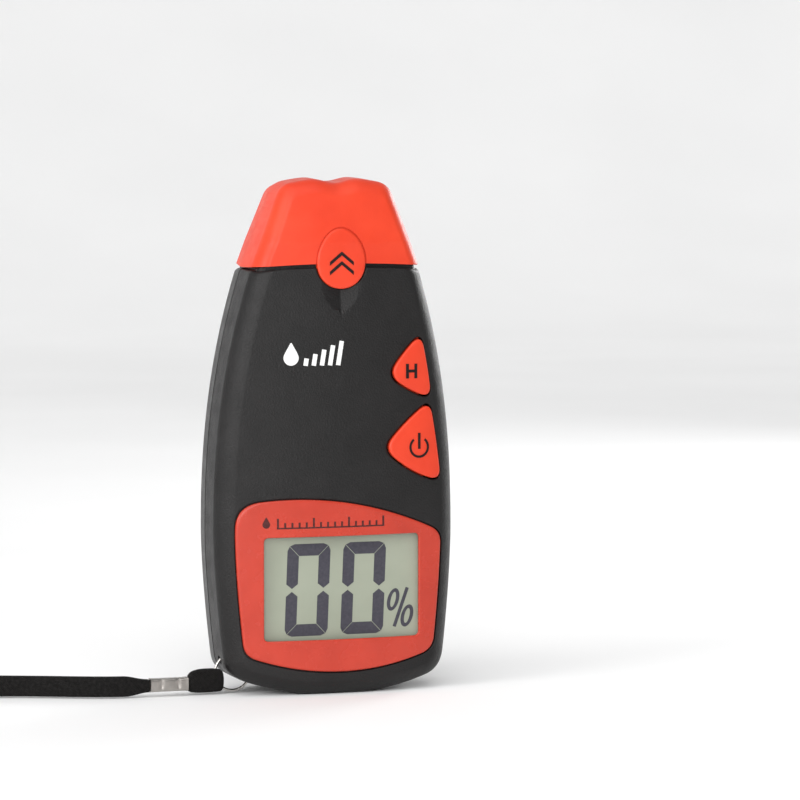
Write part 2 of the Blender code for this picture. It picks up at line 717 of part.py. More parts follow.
def make_electrode_plate():
    """The block that closes the neck and holds the pins."""
    half = neck_side(NECK_TOP) - NECK_WALL - 3 * GAP
    front = FRONT_FACE + NECK_STEP + NECK_WALL + GAP
    back = BACK_FACE - NECK_STEP - NECK_WALL - GAP
    outline = [(-half + 1.2, front + 0.9), (-half + 3, front), (half - 3, front), (half - 1.2, front + 0.9),
               (half, front + 3), (half, back - 3), (half - 1.2, back - 0.6), (half - 3, back),
               (-half + 3, back), (-half + 1.2, back - 0.6), (-half, back - 3), (-half, front + 3)]
    plate = loft("electrode_plate", [[(x, y, z) for x, y in outline] for z in (plate_bottom(), NECK_TOP)],
                 "signal_red")
    crown(plate)
    for x, y in pin_places():
        cut(plate, rod("pin_hole", (x, y, 0), (0, 0, 1), STUD_RADIUS + GAP, plate_bottom() - 1, NECK_TOP + 1))
    finish_mesh(plate)


def bar_top():
    return plate_bottom() - GAP


def head_top():
    return bar_top() - BAR_THICKNESS - GAP


def make_pins():
    """Four needles, each a stud with a head below the plate, and the nut on each."""
    nut_bottom = NECK_TOP + GAP
    nut_top = nut_bottom + NUT_HEIGHT
    profile = [(0, head_top() - PIN_HEAD_HEIGHT), (PIN_HEAD_RADIUS, head_top() - PIN_HEAD_HEIGHT),
               (PIN_HEAD_RADIUS, head_top()), (STUD_RADIUS, head_top()), (STUD_RADIUS, nut_top + 0.3),
               (PIN_RADIUS, nut_top + 0.8), (PIN_RADIUS, PIN_TIP - PIN_CONE),
               (PIN_RADIUS * 0.68, PIN_TIP - PIN_CONE * 0.5), (PIN_RADIUS * 0.3, PIN_TIP - 0.9), (0, PIN_TIP)]
    across = NUT_FLATS / 2 / math.cos(math.pi / 6)
    for i, (x, y) in enumerate(pin_places(), 1):
        finish_mesh(turned(f"electrode_pin_{i}", profile, (x, y, 0), (0, 0, 1), "nickel", 12))
        rounding = 0.35
        nut = turned(f"pin_nut_{i}", [(across - rounding, nut_bottom), (across, nut_bottom + rounding * 0.6),
                                      (across, nut_top - rounding * 0.6), (across - rounding, nut_top)],
                     (x, y, 0), (0, 0, 1), "brass", 6)
        cut(nut, rod("thread", (x, y, 0), (0, 0, 1), STUD_RADIUS + GAP, nut_bottom - 1, nut_top + 1))
        finish_mesh(nut)
    for side, x in (("left", -PIN_SPREAD / 2), ("right", PIN_SPREAD / 2)):
        reach = PIN_PITCH / 2 + BAR_WIDTH / 2
        bar = block(f"contact_bar_{side}", (x - BAR_WIDTH / 2, x + BAR_WIDTH / 2),
                    (PIN_ROW_CENTRE - reach, PIN_ROW_CENTRE + reach), (bar_top() - BAR_THICKNESS, bar_top()), "brass")
        for y in (-PIN_PITCH / 2, PIN_PITCH / 2):
            cut(bar, rod("bar_hole", (x, PIN_ROW_CENTRE + y, 0), (0, 0, 1), STUD_RADIUS + GAP, bar_top() - 5, bar_top() + 5))
        finish_mesh(bar)


def make_pin_cap():
    """The cap that slides over the neck and covers the pins."""
    rows = [(BACK_FACE, 3.3), (BACK_FACE - 0.7, 1.9), (BACK_FACE - 2.5, 1.1), (PARTING, 0.0),
            (CROWN_FULL, 0.25), (FRONT_FACE + 1.7, 1.4), (FRONT_FACE + 0.5, 2.9), (FRONT_FACE, CAP_FACE_INSET)]
    cap = loft("pin_cap", levels(rows, cap_outline), "signal_red")

    low = CASE_TOP - 4
    fit = NECK_STEP - CAP_WALL
    fit_rows = [(BACK_FACE - NECK_STEP + fit, 2.2), (BACK_FACE - NECK_STEP + fit - 0.4, 1.2),
                (BACK_FACE - NECK_STEP + fit - 1.4, 0.6),
                (PARTING, 0.0), (FRONT_FACE + NECK_STEP - fit + 1.8, 0.2),
                (FRONT_FACE + NECK_STEP - fit + 0.5, 1.0), (FRONT_FACE + NECK_STEP - fit, 2.2)]
    room = loft("neck_room", levels(fit_rows, lambda draw: neck_outline(fit, low, NECK_TOP + 1.2, draw)), "signal_red")
    inner = CAP_WALL + 0.6
    upper_rows = [(BACK_FACE - NECK_STEP - 1.0, 3.0), (PARTING, 0.6), (FRONT_FACE + NECK_STEP + 1.0, 3.0)]

    def upper(draw):
        return mirrored_loop(lambda z: cap_side(z) - CAP_WALL - draw, lambda x: NECK_TOP - 1.0,
                             lambda x: cap_crest(x) - inner, 0.4, 1.5, (8, 4, 18))

    join(room, loft("pin_room", levels(upper_rows, upper), "signal_red"))
    cut(cap, room)
    join(cap, slab("pad", pad_outline(0.0), FRONT_FACE - PAD_PROUD, FRONT_FACE + NECK_STEP - fit, "signal_red"))
    crown(cap)
    narrow_top(cap)
    finish_mesh(cap)


def narrow_top(cap):
    """Bring the cap's front and back together above the neck."""
    shape = bmesh.new()
    shape.from_mesh(cap.data)
    bmesh.ops.triangulate(shape, faces=shape.faces)
    start = (NECK_TOP + 1.2) * MM
    for height in (start, start + 6 * MM):
        whole = list(shape.verts) + list(shape.edges) + list(shape.faces)
        bmesh.ops.bisect_plane(shape, geom=whole, dist=0.0005 * MM, plane_co=(0, 0, height), plane_no=(0, 0, 1))
    bmesh.ops.triangulate(shape, faces=shape.faces)
    for vert in shape.verts:
        rise = max(vert.co.z - start, 0.0) / (CAP_TOP * MM - start)
        vert.co.y *= 1 - (1 - CAP_TOP_THICKNESS) * rise
    shape.to_mesh(cap.data)
    shape.free()


# ==== display =================================================================================
def make_display():
    front = FRONT_FACE - FRAME_PROUD
    frame = slab("display_frame", frame_outline(0.0), front, front + FRAME_THICKNESS, "frame_red")
    cut(frame, slab("window", window_outline(0.0), front - 1, front + FRAME_THICKNESS + 1, "frame_red"))
    crown(frame)
    finish_mesh(frame)

    glass_back = GLASS_FRONT + GLASS_THICKNESS
    finish_mesh(slab("display_glass", window_outline(GLASS_BORDER), GLASS_FRONT, glass_back, "glass_grey"))

    holder_front, holder_back = glass_back + GAP, BOARD_FRONT - GAP
    wall = 1.6
    border = GLASS_BORDER - 0.4
    holder = slab("display_holder", window_outline(border), holder_front, holder_back, "white_plastic")
    cut(holder, slab("well", window_outline(border - wall), holder_front - 1, holder_back + 1, "white_plastic"),
        ring_corner(GAP))
    finish_mesh(holder)
    half_width = WINDOW_WIDTH / 2 + border - wall - GAP - 0.6
    half_height = WINDOW_HEIGHT / 2 + border - wall - GAP
    for name, low in (("contact_strip_lower", WINDOW_Z - half_height),
                      ("contact_strip_upper", WINDOW_Z + half_height - STRIP_WIDTH)):
        block(name, (WINDOW_X - half_width, WINDOW_X + half_width), (holder_front, holder_back),
              (low, low + STRIP_WIDTH), "silicone")


# ==== board, switches and buttons =============================================================
def board_back():
    return BOARD_FRONT + BOARD_THICKNESS


def board_screw_tip():
    return board_back() + GAP - BOARD_SCREW_LENGTH


def strip_left():
    """The left edge of the board's strip beside the battery bay."""
    return BATTERY_WIDTH / 2 + BAY_CLEARANCE + BAY_WALL + 0.5


def board_edge(z):
    return case_side(z) - SIDE_WALL - BOARD_MARGIN


def make_board():
    low, step = RING_Z + RING_RADIUS + RING_TUNNEL + 1.2, BATTERY_FOOT - GAP - BAY_WALL - 1.5
    right = [(board_edge(z), z) for z in (low, WIDEST_HEIGHT, 72.0, BOARD_TOP)]
    left = [(-board_edge(z), z) for z in (step, WIDEST_HEIGHT, low)]
    outline = right + [(strip_left(), BOARD_TOP), (strip_left(), step)] + left
    board = slab("circuit_board", outline, BOARD_FRONT, board_back(), "board_green")
    for x, z in board_screws().values():
        cut(board, rod("screw_hole", (x, 0, z), (0, 1, 0), SCREW_RADIUS + GAP, -9, 9, sides=12))
    finish_mesh(board)
    block("measuring_chip", (-12, 0), (board_back() + GAP, board_back() + GAP + 1.6), (24, 36), "inner_black", 0.6)
    for name, (x, z) in board_screws().items():
        make_screw(name, x, z, board_back() + GAP, BOARD_SCREW_LENGTH)


def make_button(name, corners, bulges):
    """A button cap with a skirt behind the face that keeps it in, a switch and its plunger."""
    middle = sum((Vector(c) for c in corners), Vector((0, 0))) / 3
    x, z = middle.x - 0.8, middle.y
    cap_back = FRONT_FACE + BUTTON_DEPTH
    skirt_front = FRONT_FACE + FRONT_WALL + GAP
    skirt_back = skirt_front + BUTTON_SKIRT
    switch_front = BOARD_FRONT - GAP - SWITCH_HEIGHT
    plunger_front = switch_front - PLUNGER_LENGTH + BUTTON_TRAVEL + 0.6
    cap = slab(f"{name}_button", button_outline(corners, bulges, 0.0), FRONT_FACE - BUTTON_PROUD, cap_back,
               "signal_red")
    low, high = min(c[1] for c in corners), max(c[1] for c in corners)
    join(cap,
         block("web", (x - 2.4, x + 2.4), (cap_back - 0.5, skirt_front + 0.4), (z - 3, z + 3), "signal_red"),
         block("skirt", (x - 3, x + 3), (skirt_front, skirt_back), (low, high + 0.4), "signal_red"))
    crown(cap)
    join(cap, rod("stem", (x, 0, z), (0, 1, 0), 2.0, skirt_front + crown_at(x) + 0.4, plunger_front - GAP,
                  "signal_red", 12))
    finish_mesh(cap)

    half = SWITCH_SIZE / 2
    switch = block(f"{name}_switch", (x - half, x + half), (switch_front, BOARD_FRONT - GAP),
                   (z - half, z + half), "inner_black")
    cut(switch, rod("plunger_room", (x, 0, z), (0, 1, 0), PLUNGER_RADIUS + GAP, switch_front - 1,
                    plunger_front + PLUNGER_LENGTH + BUTTON_TRAVEL + 0.2, sides=12))
    finish_mesh(switch)
    finish_mesh(rod(f"{name}_plunger", (x, 0, z), (0, 1, 0), PLUNGER_RADIUS, plunger_front,
                    plunger_front + PLUNGER_LENGTH, "white_plastic", 12))


# ==== battery, bay and door ===================================================================
def battery_front():
    return BACK_FACE - BACK_WALL - GAP - PAD_FOAM - GAP - BATTERY_DEPTH


def make_battery():
    half = BATTERY_WIDTH / 2
    front = battery_front()
    top = BATTERY_FOOT + BATTERY_HEIGHT
    battery = block("battery", (-half, half), (front, front + BATTERY_DEPTH), (BATTERY_FOOT, top), "battery_wrap")
    edges = [edge.index for edge in battery.data.edges
             if abs(battery.data.vertices[edge.vertices[0]].co.z - battery.data.vertices[edge.vertices[1]].co.z) > 0.01]
    shape = bmesh.new()
    shape.from_mesh(battery.data)
    shape.edges.ensure_lookup_table()
    bmesh.ops.bevel(shape, geom=[shape.edges[i] for i in edges], offset=1.8 * MM, segments=3, profile=0.5,
                    affect="EDGES")
    shape.to_mesh(battery.data)
    shape.free()
    middle = front + BATTERY_DEPTH / 2
    for x, radius in ((-6.35, 2.8), (6.35, 3.8)):
        join(battery, rod("terminal", (x, middle, 0), (0, 0, 1), radius, top - 1, top + 2.2, "battery_wrap", 12))
    finish_mesh(battery)

    snap = block("battery_snap", (-half + 0.4, half - 0.4), (middle - 6.4, middle + 6.4),
                 (top + GAP, top + GAP + SNAP_HEIGHT), "inner_black")
    for x, radius in ((-6.35, 2.8), (6.35, 3.8)):
        cut(snap, rod("socket", (x, middle, 0), (0, 0, 1), radius + GAP, top - 1, top + 2.2 + GAP, sides=12))
    finish_mesh(snap)


def make_bay():
    inner = BATTERY_WIDTH / 2 + BAY_CLEARANCE
    outer = inner + BAY_WALL
    front = battery_front() - GAP
    back = BACK_FACE - BACK_WALL - GAP
    low = BATTERY_FOOT - GAP
    bay = block("battery_bay", (-outer, outer), (front - BAY_WALL, back), (low - BAY_WALL, bay_top() + BAY_WALL),
                "inner_black")
    cut(bay, block("well", (-inner, inner), (front, back + 2), (low, bay_top()), "inner_black"),
        block("lead_slot", (inner - 1, outer + 1), (-2.5, 5.5), (bay_top() - 3.2, bay_top() + BAY_WALL + 1),
              "inner_black"))
    finish_mesh(bay)


def make_door():
    """The door at rest: a plate with a rounded lower edge that carries the pivots."""
    half = door_half_width()
    y, z = door_axis_y(), DOOR_HINGE_HEIGHT
    profile = [(BACK_FACE, z + 0.5), (BACK_FACE, door_top() - 0.3), (BACK_FACE - 0.3, door_top()),
               (BACK_FACE - DOOR_THICKNESS, door_top()), (BACK_FACE - DOOR_THICKNESS, z)]
    for i in range(1, 8):
        angle = math.pi + math.pi * i / 8
        profile.append((y + DOOR_EDGE_RADIUS * math.cos(angle), z + DOOR_EDGE_RADIUS * math.sin(angle)))
    profile.append((y + DOOR_EDGE_RADIUS, z))
    door = loft("battery_door", [[(x, py, pz) for py, pz in profile] for x in (-half, half)], "case_black")
    join(door, rod("pivot", (0, y, z), (1, 0, 0), DOOR_PIVOT_RADIUS, -half - DOOR_PIVOT_LENGTH,
                   half + DOOR_PIVOT_LENGTH, "case_black", 12))
    for i in range(4):
        height = door_top() - 4.0 - 2.2 * i
        join(door, block("grip", (-5 + i * 0.6, 5 - i * 0.6), (BACK_FACE - 0.5, BACK_FACE + 0.35),
                         (height - 0.4, height + 0.4), "case_black", 0.3))
    finish_mesh(door)
    foam_back = BACK_FACE - DOOR_THICKNESS - GAP
    block("door_pad", (-9, 9), (foam_back - PAD_FOAM, foam_back), (BATTERY_FOOT + 8, BATTERY_FOOT + 42), "foam")


# ==== fasteners ===============================================================================
def screw_seat():
    """Where the case screws' heads rest in the back shell."""
    return BACK_FACE - 1.0 - SCREW_HEAD_HEIGHT


def screw_tip():
    return screw_seat() - SCREW_LENGTH


def make_screw(name, x, z, seat, length):
    profile = [(0, seat - length), (SCREW_RADIUS * 0.6, seat - length), (SCREW_RADIUS, seat - length + 1.2),
               (SCREW_RADIUS, seat), (SCREW_HEAD_RADIUS, seat),
               (SCREW_HEAD_RADIUS, seat + SCREW_HEAD_HEIGHT - 0.4),
               (SCREW_HEAD_RADIUS - 0.5, seat + SCREW_HEAD_HEIGHT), (0, seat + SCREW_HEAD_HEIGHT)]
    screw = turned(name, profile, (x, 0, z), (0, 1, 0), "steel", 12)
    finish_mesh(screw)


# ==== leads ===================================================================================
def smooth_route(points, steps):
    """Points on a Catmull-Rom curve through the route's own points."""
    route = [Vector(p) for p in points]
    padded = [route[0] * 2 - route[1]] + route + [route[-1] * 2 - route[-2]]
    result = []
    for a, b, c, d in zip(padded, padded[1:], padded[2:], padded[3:]):
        for k in range(steps):
            t = k / steps
            result.append(0.5 * (2 * b + (c - a) * t + (2 * a - 5 * b + 4 * c - d) * t * t
                                 + (3 * b - a - 3 * c + d) * t ** 3))
    result.append(route[-1])
    return result


def make_lead(name, points, slot):
    """An insulated wire, as a curve with a round bevel and filled caps."""
    data = bpy.data.curves.new(name, "CURVE")
    data.dimensions = "3D"
    data.bevel_depth = LEAD_DIAMETER / 2 * MM
    data.bevel_resolution = 2
    data.use_fill_caps = True
    data.materials.append(material(slot))
    route = smooth_route(points, 2)
    spline = data.splines.new("POLY")
    spline.points.add(len(route) - 1)
    for point, place in zip(spline.points, route):
        point.co = (*(place * MM), 1.0)
    made = bpy.data.objects.new(name, data)
    bpy.context.scene.collection.objects.link(made)
    return made


def make_leads():
    """Battery leads from the snap to the board, and probe leads from the pins' heads to it."""
    channel = strip_left() + 1.1
    landing = board_back() + GAP + LEAD_DIAMETER / 2
    snap_side = BATTERY_WIDTH / 2 - 0.4 + GAP
    snap_height = BATTERY_FOOT + BATTERY_HEIGHT + GAP + 3.1
    head_bottom = head_top() - PIN_HEAD_HEIGHT - 2 * GAP
    level = (bay_top() + BAY_WALL + head_bottom) / 2
    back_row = PIN_ROW_CENTRE + PIN_PITCH / 2

    def fall(y, high, low):
        """Down the channel beside the bay at y, and onto the board's back above low."""
        return [(channel, y, high), (channel, y, low + 6), (channel, (y + landing) / 2, low + 4),
                (channel, landing, low + 2), (channel, landing, low)]

    for slot, order, low in (("lead_red", 0, 93.0), ("lead_black", 1, 84.5)):
        y = landing + 0.1 + LEAD_PITCH * order
        make_lead("battery_" + slot, [(snap_side, y, snap_height), (snap_side + 1.6, y, snap_height + 0.1),
                                      (channel - 0.5, y, snap_height - 0.9)] + fall(y, snap_height - 4, low), slot)
    for side, x, order, low in (("right", PIN_SPREAD / 2, 2, 76.0), ("left", -PIN_SPREAD / 2, 3, 67.5)):
        y = landing + 0.1 + LEAD_PITCH * order
        start = [(x, back_row, head_bottom), (x + 0.6, back_row + 0.8, level + 0.4)]
        across = [(x + (channel - x) * share, y, level) for share in ((0.25, 0.5, 0.75) if x < 0 else ())]
        make_lead("probe_lead_" + side, start + across + [(channel - 1.2, y, level - 0.4)] + fall(y, level - 3, low),
                  "lead_black")


# ==== lanyard =================================================================================
# The middle of the strap, from the outer end of the crimp.
STRAP_ROUTE = [(-0.3, -0.75), (-5.5, -0.40), (-11.5, 0.75), (-18.5, 3.20), (-26.5, 6.70),
               (-35.5, 10.30), (-45.5, 12.80), (-56.5, 13.90), (-68.5, 14.10), (-81.5, 13.90),
               (-94.5, 14.00), (-105.5, 15.00), (-113.9, 17.70), (-118.3, 22.40), (-116.7, 27.50),
               (-109.9, 30.50), (-99.5, 30.70), (-88.5, 29.10), (-76.5, 26.70), (-64.5, 23.60),
               (-53.5, 19.60), (-44.1, 15.70), (-34.8, 12.00), (-25.8, 8.30), (-17.9, 4.85),
               (-11.2, 2.35), (-5.5, 1.20), (-0.3, 0.75)]


def make_strap():
    """The wrist loop: one woven band on edge, from the crimp out, round and back to it."""
    crimp_left = CRIMP_RIGHT - CRIMP_LENGTH
    route = smooth_route([(crimp_left + x, RING_Y + y, 0) for x, y in STRAP_ROUTE], 2)
    rings = []
    for i, point in enumerate(route):
        along = (route[min(i + 1, len(route) - 1)] - route[max(i - 1, 0)]).normalized()
        side = Vector((-along.y, along.x, 0)) * BAND_THICKNESS / 2
        low, high = Vector((0, 0, BAND_BOTTOM)), Vector((0, 0, BAND_BOTTOM + BAND_WIDTH))
        rings.append([tuple(point + side + low), tuple(point - side + low), tuple(point - side + high),
                      tuple(point + side + high)])
    loft("wrist_strap", rings, "webbing")

    half = CRIMP_THICKNESS / 2
    block("strap_crimp", (crimp_left, CRIMP_RIGHT), (RING_Y - half, RING_Y + half),
          (CRIMP_Z - CRIMP_HEIGHT / 2, CRIMP_Z + CRIMP_HEIGHT / 2), "steel", 0.7)

    left, hold = CRIMP_RIGHT + GAP, RING_X - RING_RADIUS
    outline = [(left, 1.2), (hold - 4.5, 0.7), (hold + 0.5, 0.7), (hold + 2.4, 2.2), (hold + 2.3, 4.6),
               (hold + 1.4, 6.4), (hold - 1.0, 7.2), (hold - 4.0, 6.6), (left, 5.4)]
    eye = slab("strap_eye", outline, RING_Y - 1.6, RING_Y + 1.6, "webbing")
    cut(eye, ring_solid("ring_room", (RING_X, RING_Y, RING_Z), RING_RADIUS, RING_WIRE + GAP, "webbing", 36, 10))
    finish_mesh(eye)

    finish_mesh(ring_solid("lanyard_ring", (RING_X, RING_Y, RING_Z), RING_RADIUS, RING_WIRE, "nickel", 32, 8))


def main():
    for old in list(bpy.data.objects):
        bpy.data.objects.remove(old)
    make_front_shell()
    make_back_shell()
    make_electrode_plate()
    make_pins()
    make_pin_cap()
    make_display()
    make_board()
    make_button("hold", HOLD_CORNERS, HOLD_BULGES)
    make_button("power", POWER_CORNERS, POWER_BULGES)
    make_battery()
    make_bay()
    make_door()
    for name, (x, z) in case_screws().items():
        make_screw(name, x, z, screw_seat(), SCREW_LENGTH)
    make_leads()
    make_strap()


main()
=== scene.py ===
"""The looks of the pin-type moisture meter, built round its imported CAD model.

Sizes are in millimetres, in the frame of the CAD part: +Z runs up to the pins, the display faces -Y
and +X is to the right of the display.  They become metres when a mesh is made.  The front of the
case is crowned from side to side, so what lies in it is made flat and then bent back by the crown.
"""
import math
from contextlib import contextmanager

import bmesh
import bpy
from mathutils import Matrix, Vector


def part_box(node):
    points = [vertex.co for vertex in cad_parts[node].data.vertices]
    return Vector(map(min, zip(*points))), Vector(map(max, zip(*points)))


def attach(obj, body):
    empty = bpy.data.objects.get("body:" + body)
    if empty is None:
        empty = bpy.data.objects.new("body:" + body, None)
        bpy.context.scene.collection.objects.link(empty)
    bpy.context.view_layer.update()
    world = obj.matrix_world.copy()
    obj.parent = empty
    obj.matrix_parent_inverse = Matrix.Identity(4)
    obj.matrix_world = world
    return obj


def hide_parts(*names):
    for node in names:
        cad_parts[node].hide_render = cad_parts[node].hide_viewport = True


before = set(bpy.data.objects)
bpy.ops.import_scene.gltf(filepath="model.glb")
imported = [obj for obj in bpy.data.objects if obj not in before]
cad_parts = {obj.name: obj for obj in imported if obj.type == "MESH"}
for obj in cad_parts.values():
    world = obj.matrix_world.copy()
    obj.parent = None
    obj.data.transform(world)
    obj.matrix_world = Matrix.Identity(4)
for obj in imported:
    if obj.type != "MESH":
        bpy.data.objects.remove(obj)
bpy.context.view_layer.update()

MM = 0.001
GAP = 0.3                     # between neighbouring pieces
NECK_HEIGHT = 6.1             # how far the neck stands above the case's two top corners


def box_mm(node):
    low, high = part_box(node)
    return low / MM, high / MM


# ==== sizes from the frame ====================================================================
FRONT_LOW, FRONT_HIGH = box_mm("front_shell")
CASE_WIDTH = FRONT_HIGH.x - FRONT_LOW.x
CASE_EDGE = CASE_WIDTH / 2
FRONT_FACE = FRONT_LOW.y      # the foremost line of the crowned front
PARTING = FRONT_HIGH.y
BACK_FACE = box_mm("back_shell")[1].y
NECK_TOP = FRONT_HIGH.z
CASE_TOP = NECK_TOP - NECK_HEIGHT
BATTERY_LOW, BATTERY_HIGH = box_mm("battery")
BATTERY_FOOT = BATTERY_LOW.z
RING_LOW, RING_HIGH = box_mm("lanyard_ring")
CRIMP_LOW, CRIMP_HIGH = box_mm("strap_crimp")
EYE_LOW, EYE_HIGH = box_mm("strap_eye")
DOOR_LOW, DOOR_HIGH = box_mm("battery_door")

# ==== case ====================================================================================
TOP_ARCH = 0.9
WIDEST_HEIGHT = 44.5
TOP_NARROWING = 10.3
TOP_NARROWING_POWER = 2.24
BOTTOM_NARROWING = 3.9
BOTTOM_NARROWING_POWER = 1.6
BOTTOM_RADIUS = 82.0
FOOT_HALF = 8.0
FOOT_DEPTH_INSET = 1.1
BOTTOM_CORNER = 4.9
TOP_CORNER = 1.2
CROWN_RADIUS = 165.0
CROWN_FULL = -8.0
CROWN_STEP = 1.5
FACE_INSET = 5.0
FRONT_WALL = 2.0
BACK_WALL = 2.2
SIDE_WALL = 2.0
SEAM = 0.25                   # the small chamfer along the parting line

# ==== neck, cap and pins ======================================================================
NECK_STEP = 1.7
NECK_WALL = 1.6
NECK_ROOT = 6                 # how far the neck reaches down inside the case
NECK_EDGE = 0.5               # rounding of the neck's top edge
CAP_WALL = 1.4
CAP_HALF_WIDTH = CASE_EDGE - TOP_NARROWING + 0.15
CAP_TAPER = 0.383
CAP_TOP = CASE_TOP + 23.7
CAP_BUMP = 1.0
CAP_BUMP_PLACE = 6.2
CAP_SHOULDER_DROP = 1.5
CAP_TOP_CORNER = 3.0
CAP_FACE_INSET = 4.2
CAP_TOP_THICKNESS = 0.8       # its depth there, as a share of the depth below
CAP_HEADROOM = 1.2            # over the neck, inside the cap
PAD_CENTRE = CASE_TOP + 2.95
PAD_HALF_HEIGHT = 8.25
PAD_HALF_WIDTH = 6.85
PAD_EGG = 0.12
PAD_PROUD = 0.4
NOTCH_WIDTH = 6.4
NOTCH_HEIGHT = 1.2
NOTCH_CENTRE = CASE_TOP - 2.2
NOTCH_DEPTH = 0.9
SCOOP_LENGTH = 7.5
SCOOP_OVERLAP = 2.5           # how far it starts inside the pad's recess
SCOOP_HALF_WIDTH = 5.6
SCOOP_DEPTH = 1.6
BACKING_HALF_WIDTH = 7.4      # the thicker wall behind the pad's recess and the scoop
BACKING_WALL = 1.0
PIN_RADIUS = 0.88
STUD_RADIUS = 1.3
PIN_CONE = 5.2
PIN_HEAD_HEIGHT = 1.8
PLATE_THICKNESS = 3.4
PLATE_CORNER = 2.4

# ==== display and buttons =====================================================================
WINDOW_WIDTH = 44.5
WINDOW_HEIGHT = 28.4
WINDOW_X = 0.5
WINDOW_Z = 29.4
WINDOW_CORNER = 1.4
FRAME_THICKNESS = 1.0
FRAME_PROUD = 0.25
FRAME_LIP = 0.35              # rounding of its window's rim
FRAME_BOTTOM = 6.3
FRAME_BOTTOM_RADIUS = 75.0
FRAME_PEAK = 53.9
FRAME_PEAK_X = -13.0
FRAME_TOP_RADIUS = 89.0
GLASS_BORDER = 2.0
GLASS_FRONT = box_mm("display_glass")[0].y
BUTTON_PROUD = 0.8
BUTTON_DEPTH = 1.3
BUTTON_CORNER = 3.5
BUTTON_ROLL = 0.55            # radius of a button's front edge
BUTTON_DOME = 0.25            # how far its face bulges
HOLD_CORNERS = [(CASE_EDGE - 20.6, 87.5), (CASE_EDGE - 8.1, 80.9), (CASE_EDGE - 11.2, 98.4)]
HOLD_BULGES = [0.9, 0.3, 0.6]
POWER_CORNERS = [(CASE_EDGE - 22.0, 67.3), (CASE_EDGE - 5.2, 57.9), (CASE_EDGE - 8.5, 79.8)]
POWER_BULGES = [1.5, 0.3, 0.8]

# ==== battery bay, door, fasteners and lanyard ================================================
TERMINAL_SPREAD = 6.35        # of the battery's two terminals from its middle
DOOR_THICKNESS = 1.8
DOOR_EDGE_RADIUS = 0.8
DOOR_PIVOT_RADIUS = 0.5
DOOR_PIVOT_LENGTH = 1.2
DOOR_HALF = (DOOR_HIGH.x - DOOR_LOW.x) / 2 - DOOR_PIVOT_LENGTH
DOOR_TOP = DOOR_HIGH.z
DOOR_HINGE_HEIGHT = DOOR_LOW.z + DOOR_EDGE_RADIUS
SCREW_HEAD_RADIUS = 2.1
SCREW_RADIUS = 1.2
SCREW_HEAD_HEIGHT = 1.6
SCREW_SINK = 1.0              # of the heads below the back face
CROSS_ARM = 1.15
CROSS_WIDTH = 0.24
BOSS_RADIUS = 2.8
BACK_BOSS_RADIUS = 3.3
LOWER_SCREW_X = 16.5
LOWER_SCREW_Z = 8.6
UPPER_SCREW_DROP = 13.0
UPPER_SCREW_EDGE = 6.3
GRIP_COUNT = 6                # grooves across the back, under the door
GRIP_LOWEST = 24.0
GRIP_PITCH = 3.2
GRIP_DEPTH = 0.35
RING_WIRE = (RING_HIGH.y - RING_LOW.y) / 2
RING_RADIUS = (RING_HIGH.x - RING_LOW.x) / 2 - RING_WIRE
RING_CENTRE = (RING_LOW + RING_HIGH) / 2
RING_TUNNEL = 1.1
BAND_WIDTH = 5.4
BAND_THICKNESS = 1.0
BAND_MIDDLE = 3.2             # height of the band's middle line
BAND_PINCH = 3.4              # the band's width inside the crimp

# The middle of the strap, from the outer end of the crimp.
STRAP_ROUTE = [(-0.3, -0.75), (-5.5, -0.40), (-11.5, 0.75), (-18.5, 3.20), (-26.5, 6.70),
               (-35.5, 10.30), (-45.5, 12.80), (-56.5, 13.90), (-68.5, 14.10), (-81.5, 13.90),
               (-94.5, 14.00), (-105.5, 15.00), (-113.9, 17.70), (-118.3, 22.40), (-116.7, 27.50),
               (-109.9, 30.50), (-99.5, 30.70), (-88.5, 29.10), (-76.5, 26.70), (-64.5, 23.60),
               (-53.5, 19.60), (-44.1, 15.70), (-34.8, 12.00), (-25.8, 8.30), (-17.9, 4.85),
               (-11.2, 2.35), (-5.5, 1.20), (-0.3, 0.75)]


# ==== materials ===============================================================================
def link(tree, start, end):
    tree.links.new(start, end)


def node(tree, kind, **settings):
    made = tree.nodes.new(kind)
    for name, value in settings.items():
        setattr(made, name, value)
    return made


def noise(tree, scale, detail=2.0, stretch=None, roughness=0.5):
    """Noise over the piece's own coordinates; scale is in features per metre."""
    place = node(tree, "ShaderNodeTexCoord").outputs["Object"]
    if stretch:
        mapping = node(tree, "ShaderNodeMapping")
        mapping.inputs["Scale"].default_value = stretch
        link(tree, place, mapping.inputs["Vector"])
        place = mapping.outputs["Vector"]
    made = node(tree, "ShaderNodeTexNoise")
    made.inputs["Scale"].default_value = scale
    made.inputs["Detail"].default_value = detail
    made.inputs["Roughness"].default_value = roughness
    link(tree, place, made.inputs["Vector"])
    return made.outputs["Fac"]


def ramp(tree, value, low, high, start=0.3, end=0.7):
    """Turn a value between start and end into one between two numbers or two colours."""
    if isinstance(low, tuple):
        made = node(tree, "ShaderNodeValToRGB")
        first, last = made.color_ramp.elements
        first.position, first.color = start, (*low, 1.0)
        last.position, last.color = end, (*high, 1.0)
        link(tree, value, made.inputs["Fac"])
        return made.outputs["Color"]
    made = node(tree, "ShaderNodeMapRange")
    for socket, number in (("From Min", start), ("From Max", end), ("To Min", low), ("To Max", high)):
        made.inputs[socket].default_value = number
    link(tree, value, made.inputs["Value"])
    return made.outputs["Result"]


def bump(tree, height, depth, strength=1.0, under=None):
    """A bump whose full height is depth, in metres."""
    made = node(tree, "ShaderNodeBump")
    made.inputs["Strength"].default_value = strength
    made.inputs["Distance"].default_value = depth
    link(tree, height, made.inputs["Height"])
    if under:
        link(tree, under, made.inputs["Normal"])
    return made.outputs["Normal"]


